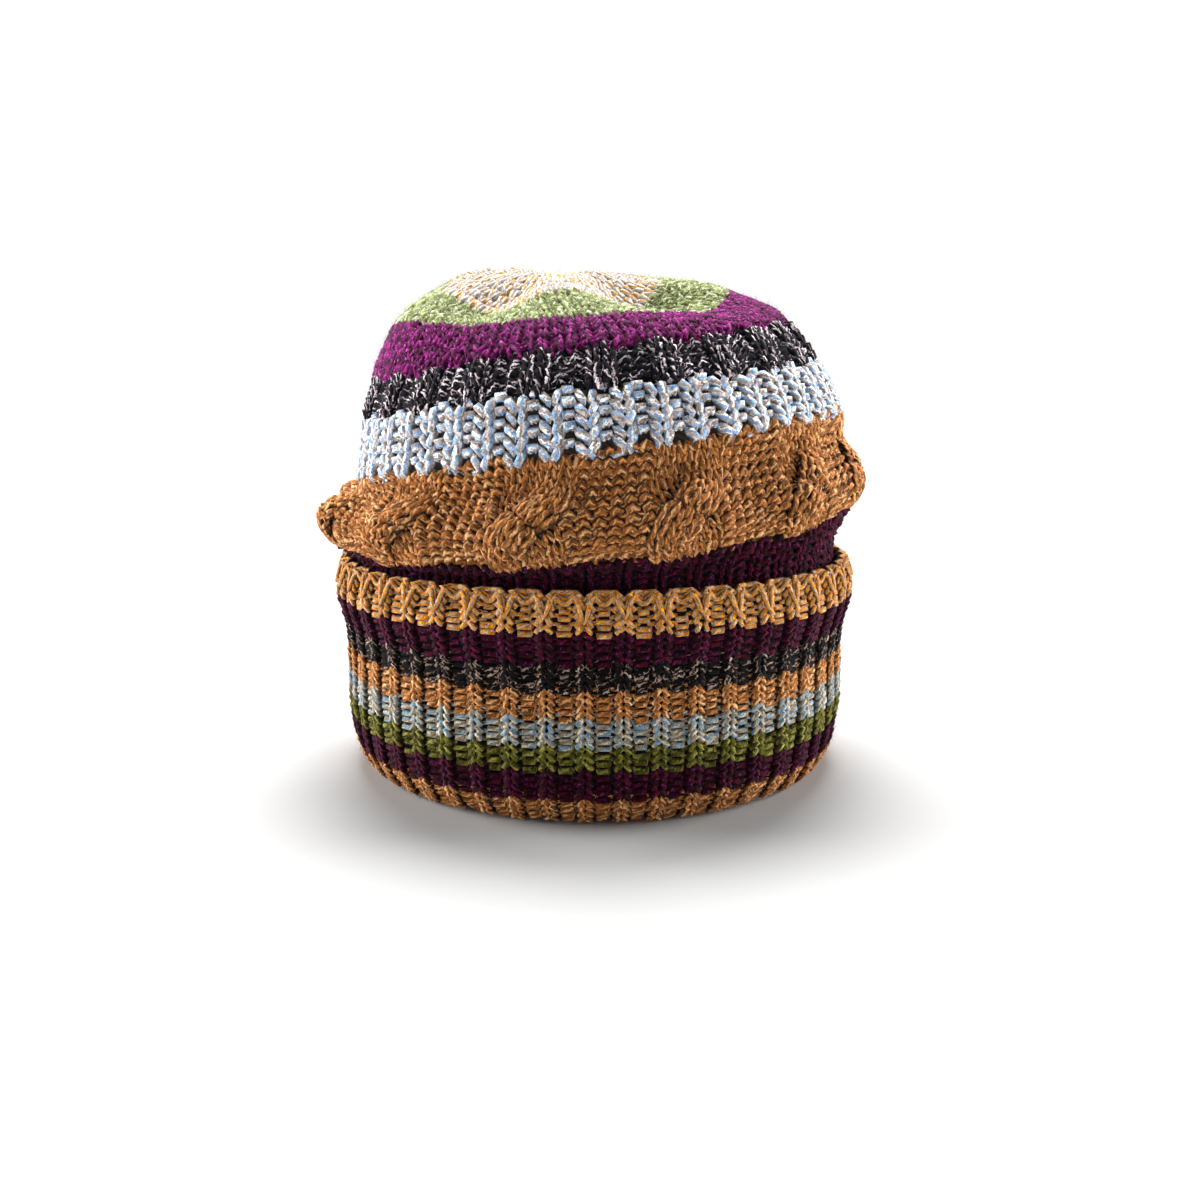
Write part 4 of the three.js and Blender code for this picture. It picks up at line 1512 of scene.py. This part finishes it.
@dataclass
class Crown:
    """The body above the cuff: the tuck, the cables, the ribbed stripes and the gathered top.

    Args:
        crossing: how the strands of the cables cross.
        plum_stitches, green_stitches, tip_stitches: how many stitches each row of the plain stripes has.
    """

    crossing: Crossing = field(default_factory=Crossing)
    plum_stitches: tuple[int, ...] = (PLAIN_COUNT,)
    green_stitches: tuple[int, ...] = (84, 84, 76, 76, 68, 68, 60)
    tip_stitches: tuple[int, ...] = (56, 50, 44, 38, 32, 26, 20, 14, 9, 6)

    def build(self, body: str) -> None:
        """Makes the stripes above the cuff.

        Args:
            body: the body that they ride on.
        """
        Stripe(
            "tuck_plum_stripe", PLUM, BODY, "tuck_foot", "tuck_top", Pattern.TUCK_RIB, plain_relief,
            BODY_WALL, seed=31, sides=4, steps=8, phase=0.0,
        ).build(body)
        Stripe(
            "cable_band", CAMEL, BODY, "tuck_top", "cable_top", Pattern.CABLES, cable_relief, BODY_WALL,
            seed=32, sides=4, steps=10, phase=0.0, crossing=self.crossing, inner=24, ground_points=240,
            plump=1.03, purl_share=1.0, rib_gain=1.0, set_in=0.8 * MM, sunk=2.9 * MM, neck=1.4, uneven=0.9,
            swell=0.22, heads=0.5,
        ).build(body)
        Stripe(
            "crown_ice_rib", ICE, BODY, "cable_top", "ice_top", Pattern.ICE_RIB, ice_relief, BODY_WALL,
            seed=33, phase=0.0, heads=0.5, lean=-0.08, neck=1.75, reach=0.86, bulge=1.3 * MM, sunk=2.0 * MM,
            rib_gain=1.75, purl_share=0.9, twist=2.0, swell=0.3, uneven=1.2, steps=11, plump=1.04,
        ).build(body)
        Stripe(
            "crown_charcoal_stripe", CHARCOAL, BODY, "ice_top", "charcoal_top", Pattern.WIDE_RIB, wide_relief,
            BODY_WALL, seed=34, lean=-0.04, neck=1.3, bulge=1.1 * MM, twist=3.4, purl_share=0.9, rib_gain=2.2,
            uneven=1.5,
        ).build(body)
        Stripe(
            "crown_plum_stripe", PAINTED_LIT_PLUM, BODY, "charcoal_top", "plum_top", Pattern.PLAIN, plain_relief,
            BODY_WALL, seed=35, stitches=self.plum_stitches, sides=4, steps=8, twist=4.0, neck=1.6,
            uneven=3.0,
        ).build(body)
        Stripe(
            "crown_green_stripe", PAINTED_LIT_GREEN, BODY, "plum_top", "green_top", Pattern.PLAIN, plain_relief,
            BODY_WALL, seed=36, stitches=self.green_stitches, sides=4, steps=8, neck=1.5, uneven=3.0,
        ).build(body)
        Stripe(
            "crown_tip", OATMEAL, BODY, "green_top", "tip", Pattern.PLAIN, plain_relief, BODY_WALL,
            seed=37, stitches=self.tip_stitches, neck=1.4, uneven=2.0,
        ).build(body)


@dataclass
class InnerBand:
    """The plain sleeve behind the cuff, which only shows from inside.

    Args:
        points: how many points each of its rings has.
        foot: its radius at the foot, as a share of the cuff's.
        shoulder: the height up to which it stands straight, as a share of the cuff's.
        top: its radius at the top, as a share of the body's.
    """

    points: int = 96
    foot: float = 0.975
    shoulder: float = 0.359
    top: float = 0.991

    def build(self, body: str) -> None:
        """Makes the sleeve, sets what it rides on, and hides the solid that it stands for.

        Args:
            body: the body that it rides on.
        """
        angle = np.radians(CUFF_RIB_ANGLE + FULL_TURN * np.arange(self.points) / self.points)
        low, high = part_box("inner_band")
        profile = [
            (self.foot * CUFF_RADIUS - CUFF_WALL - LAYER_GAP, low.z),
            (CUFF_RADIUS - CUFF_WALL - LAYER_GAP, self.shoulder * CUFF_HEIGHT),
            (self.top * BODY_RADIUS, high.z),
        ]
        line = profile + [(radius - BODY_WALL, height) for radius, height in profile[::-1]]
        level = np.ones(self.points)
        rings = [np.stack([r * np.sin(angle), -r * np.cos(angle), h * level], axis=-1) for r, h in line]
        sleeve = loft("inner_band_sleeve", rings)
        sleeve.data.materials.append(CAMEL.ground())
        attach(sleeve, body)
        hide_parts("inner_band")


@dataclass(frozen=True)
class Lamp:
    """One soft light that shines at the middle of the scene.

    Args:
        name: what the light is called.
        place: where it shines from.
        spread: how wide it looks from the cap, in degrees, so how soft its shadows are.
        strength: how much light it gives.
    """

    name: str
    place: tuple[float, float, float]
    spread: float
    strength: float


@dataclass
class Studio:
    """A pale floor, soft light from above and both sides, and the camera at the photograph's angle.

    Args:
        image_side: the photograph's side, in pixels.
        focal_pixels: the focal length of its lens, in pixels.
        middle_pixel: the pixel column that the cap's middle is at.
        camera_at: where the camera stands, in metres.
        look_down: how far the camera looks down, in degrees.
        sensor: the width of the camera's sensor, in millimetres.
        floor_half: half the side of the floor, in metres.
        floor_colour: the floor's colour.
        lamps: the soft lights.
        glow_heights: where the room's walls start to get darker, and where its ceiling begins.
        glows: how bright the room's walls and its ceiling are.
    """

    image_side: int = 1200
    focal_pixels: float = 1250.0
    middle_pixel: float = 594.5
    camera_at: tuple[float, float, float] = (0.0, -0.455, 0.142)
    look_down: float = 10.7
    sensor: float = 36.0
    floor_half: float = 6.0
    floor_colour: str = "AFAFAF"
    lamps: tuple[Lamp, ...] = (
        Lamp("overhead_light", (0.0, 0.5, 1.0), 36.0, 6.8),
        Lamp("left_light", (-1.0, 0.25, 0.25), 40.0, 7.0),
        Lamp("right_light", (1.0, 0.25, 0.25), 40.0, 5.5),
    )
    glow_heights: tuple[float, float] = (0.27, 0.4)
    glows: tuple[float, float] = (1.03, 0.12)

    def build(self) -> None:
        """Makes the floor, the lights, the world and the camera."""
        self.camera()
        self.floor()
        self.lights()

    def camera(self) -> None:
        """Makes the camera that the image is taken with."""
        data = bpy.data.cameras.new("camera")
        data.sensor_width = self.sensor
        data.lens = self.focal_pixels / self.image_side * self.sensor
        data.shift_x = (self.image_side / 2 - self.middle_pixel) / self.image_side
        made = bpy.data.objects.new("camera", data)
        made.location = self.camera_at
        made.rotation_euler = (math.radians(90 - self.look_down), 0, 0)
        bpy.context.scene.collection.objects.link(made)
        bpy.context.scene.camera = made

    def floor(self) -> None:
        """Makes the plain pale floor."""
        shape = bmesh.new()
        bmesh.ops.create_grid(shape, x_segments=1, y_segments=1, size=self.floor_half)
        mesh = bpy.data.meshes.new("floor")
        shape.to_mesh(mesh)
        shape.free()
        floor = bpy.data.objects.new("floor", mesh)
        bpy.context.scene.collection.objects.link(floor)
        # Matt pale card, which takes soft shadows and throws back no shine.
        paint = bpy.data.materials.new("matt_pale_card")
        paint.use_nodes = True
        shader = paint.node_tree.nodes["Principled BSDF"]
        shader.inputs["Base Color"].default_value = linear(self.floor_colour)
        shader.inputs["Roughness"].default_value = 0.9
        shader.inputs["Specular IOR Level"].default_value = 0.0
        mesh.materials.append(paint)
        floor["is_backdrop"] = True

    def lights(self) -> None:
        """Makes the soft lights and the pale world round them."""
        for lamp in self.lamps:
            data = bpy.data.lights.new(lamp.name, "SUN")
            data.angle = math.radians(lamp.spread)
            data.energy = lamp.strength
            made = bpy.data.objects.new(lamp.name, data)
            made.location = lamp.place
            made.rotation_euler = (-Vector(lamp.place)).to_track_quat("-Z", "Y").to_euler()
            bpy.context.scene.collection.objects.link(made)
        self.room()
        bpy.context.scene.view_settings.view_transform = "Standard"

    def room(self) -> None:
        """Makes the world: white walls low down, as behind a table in a studio, and a dim ceiling."""
        world = bpy.data.worlds.new("pale_room")
        world.use_nodes = True
        bpy.context.scene.world = world
        tree = world.node_tree
        tree.nodes.clear()
        place = add(tree, "ShaderNodeTexCoord").outputs["Generated"]
        height = add(tree, "ShaderNodeSeparateXYZ", in0=place).outputs[2]
        glow = add(
            tree, "ShaderNodeMapRange", {"interpolation_type": "SMOOTHSTEP"},
            Value=height, From_Min=self.glow_heights[0], From_Max=self.glow_heights[1],
            To_Min=self.glows[0], To_Max=self.glows[1],
        )
        back = add(tree, "ShaderNodeBackground", Color=(1.0, 1.0, 1.0, 1.0), Strength=glow.outputs[0])
        add(tree, "ShaderNodeOutputWorld", Surface=back.outputs[0])


def main() -> None:
    """Builds the cap and the studio round it, and logs how many pieces and triangles it has."""
    logging.basicConfig(level=logging.INFO, format="%(message)s")
    body = next(iter(frame["bodies"]))
    Studio().build()
    TurnedCuff().build(body)
    InnerBand().build(body)
    Crown().build(body)
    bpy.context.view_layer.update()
    LOG.info("pieces: %d, triangles: %d", len(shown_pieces()), sum(triangles_of(piece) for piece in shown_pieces()))


if __name__ == "__main__":
    main()
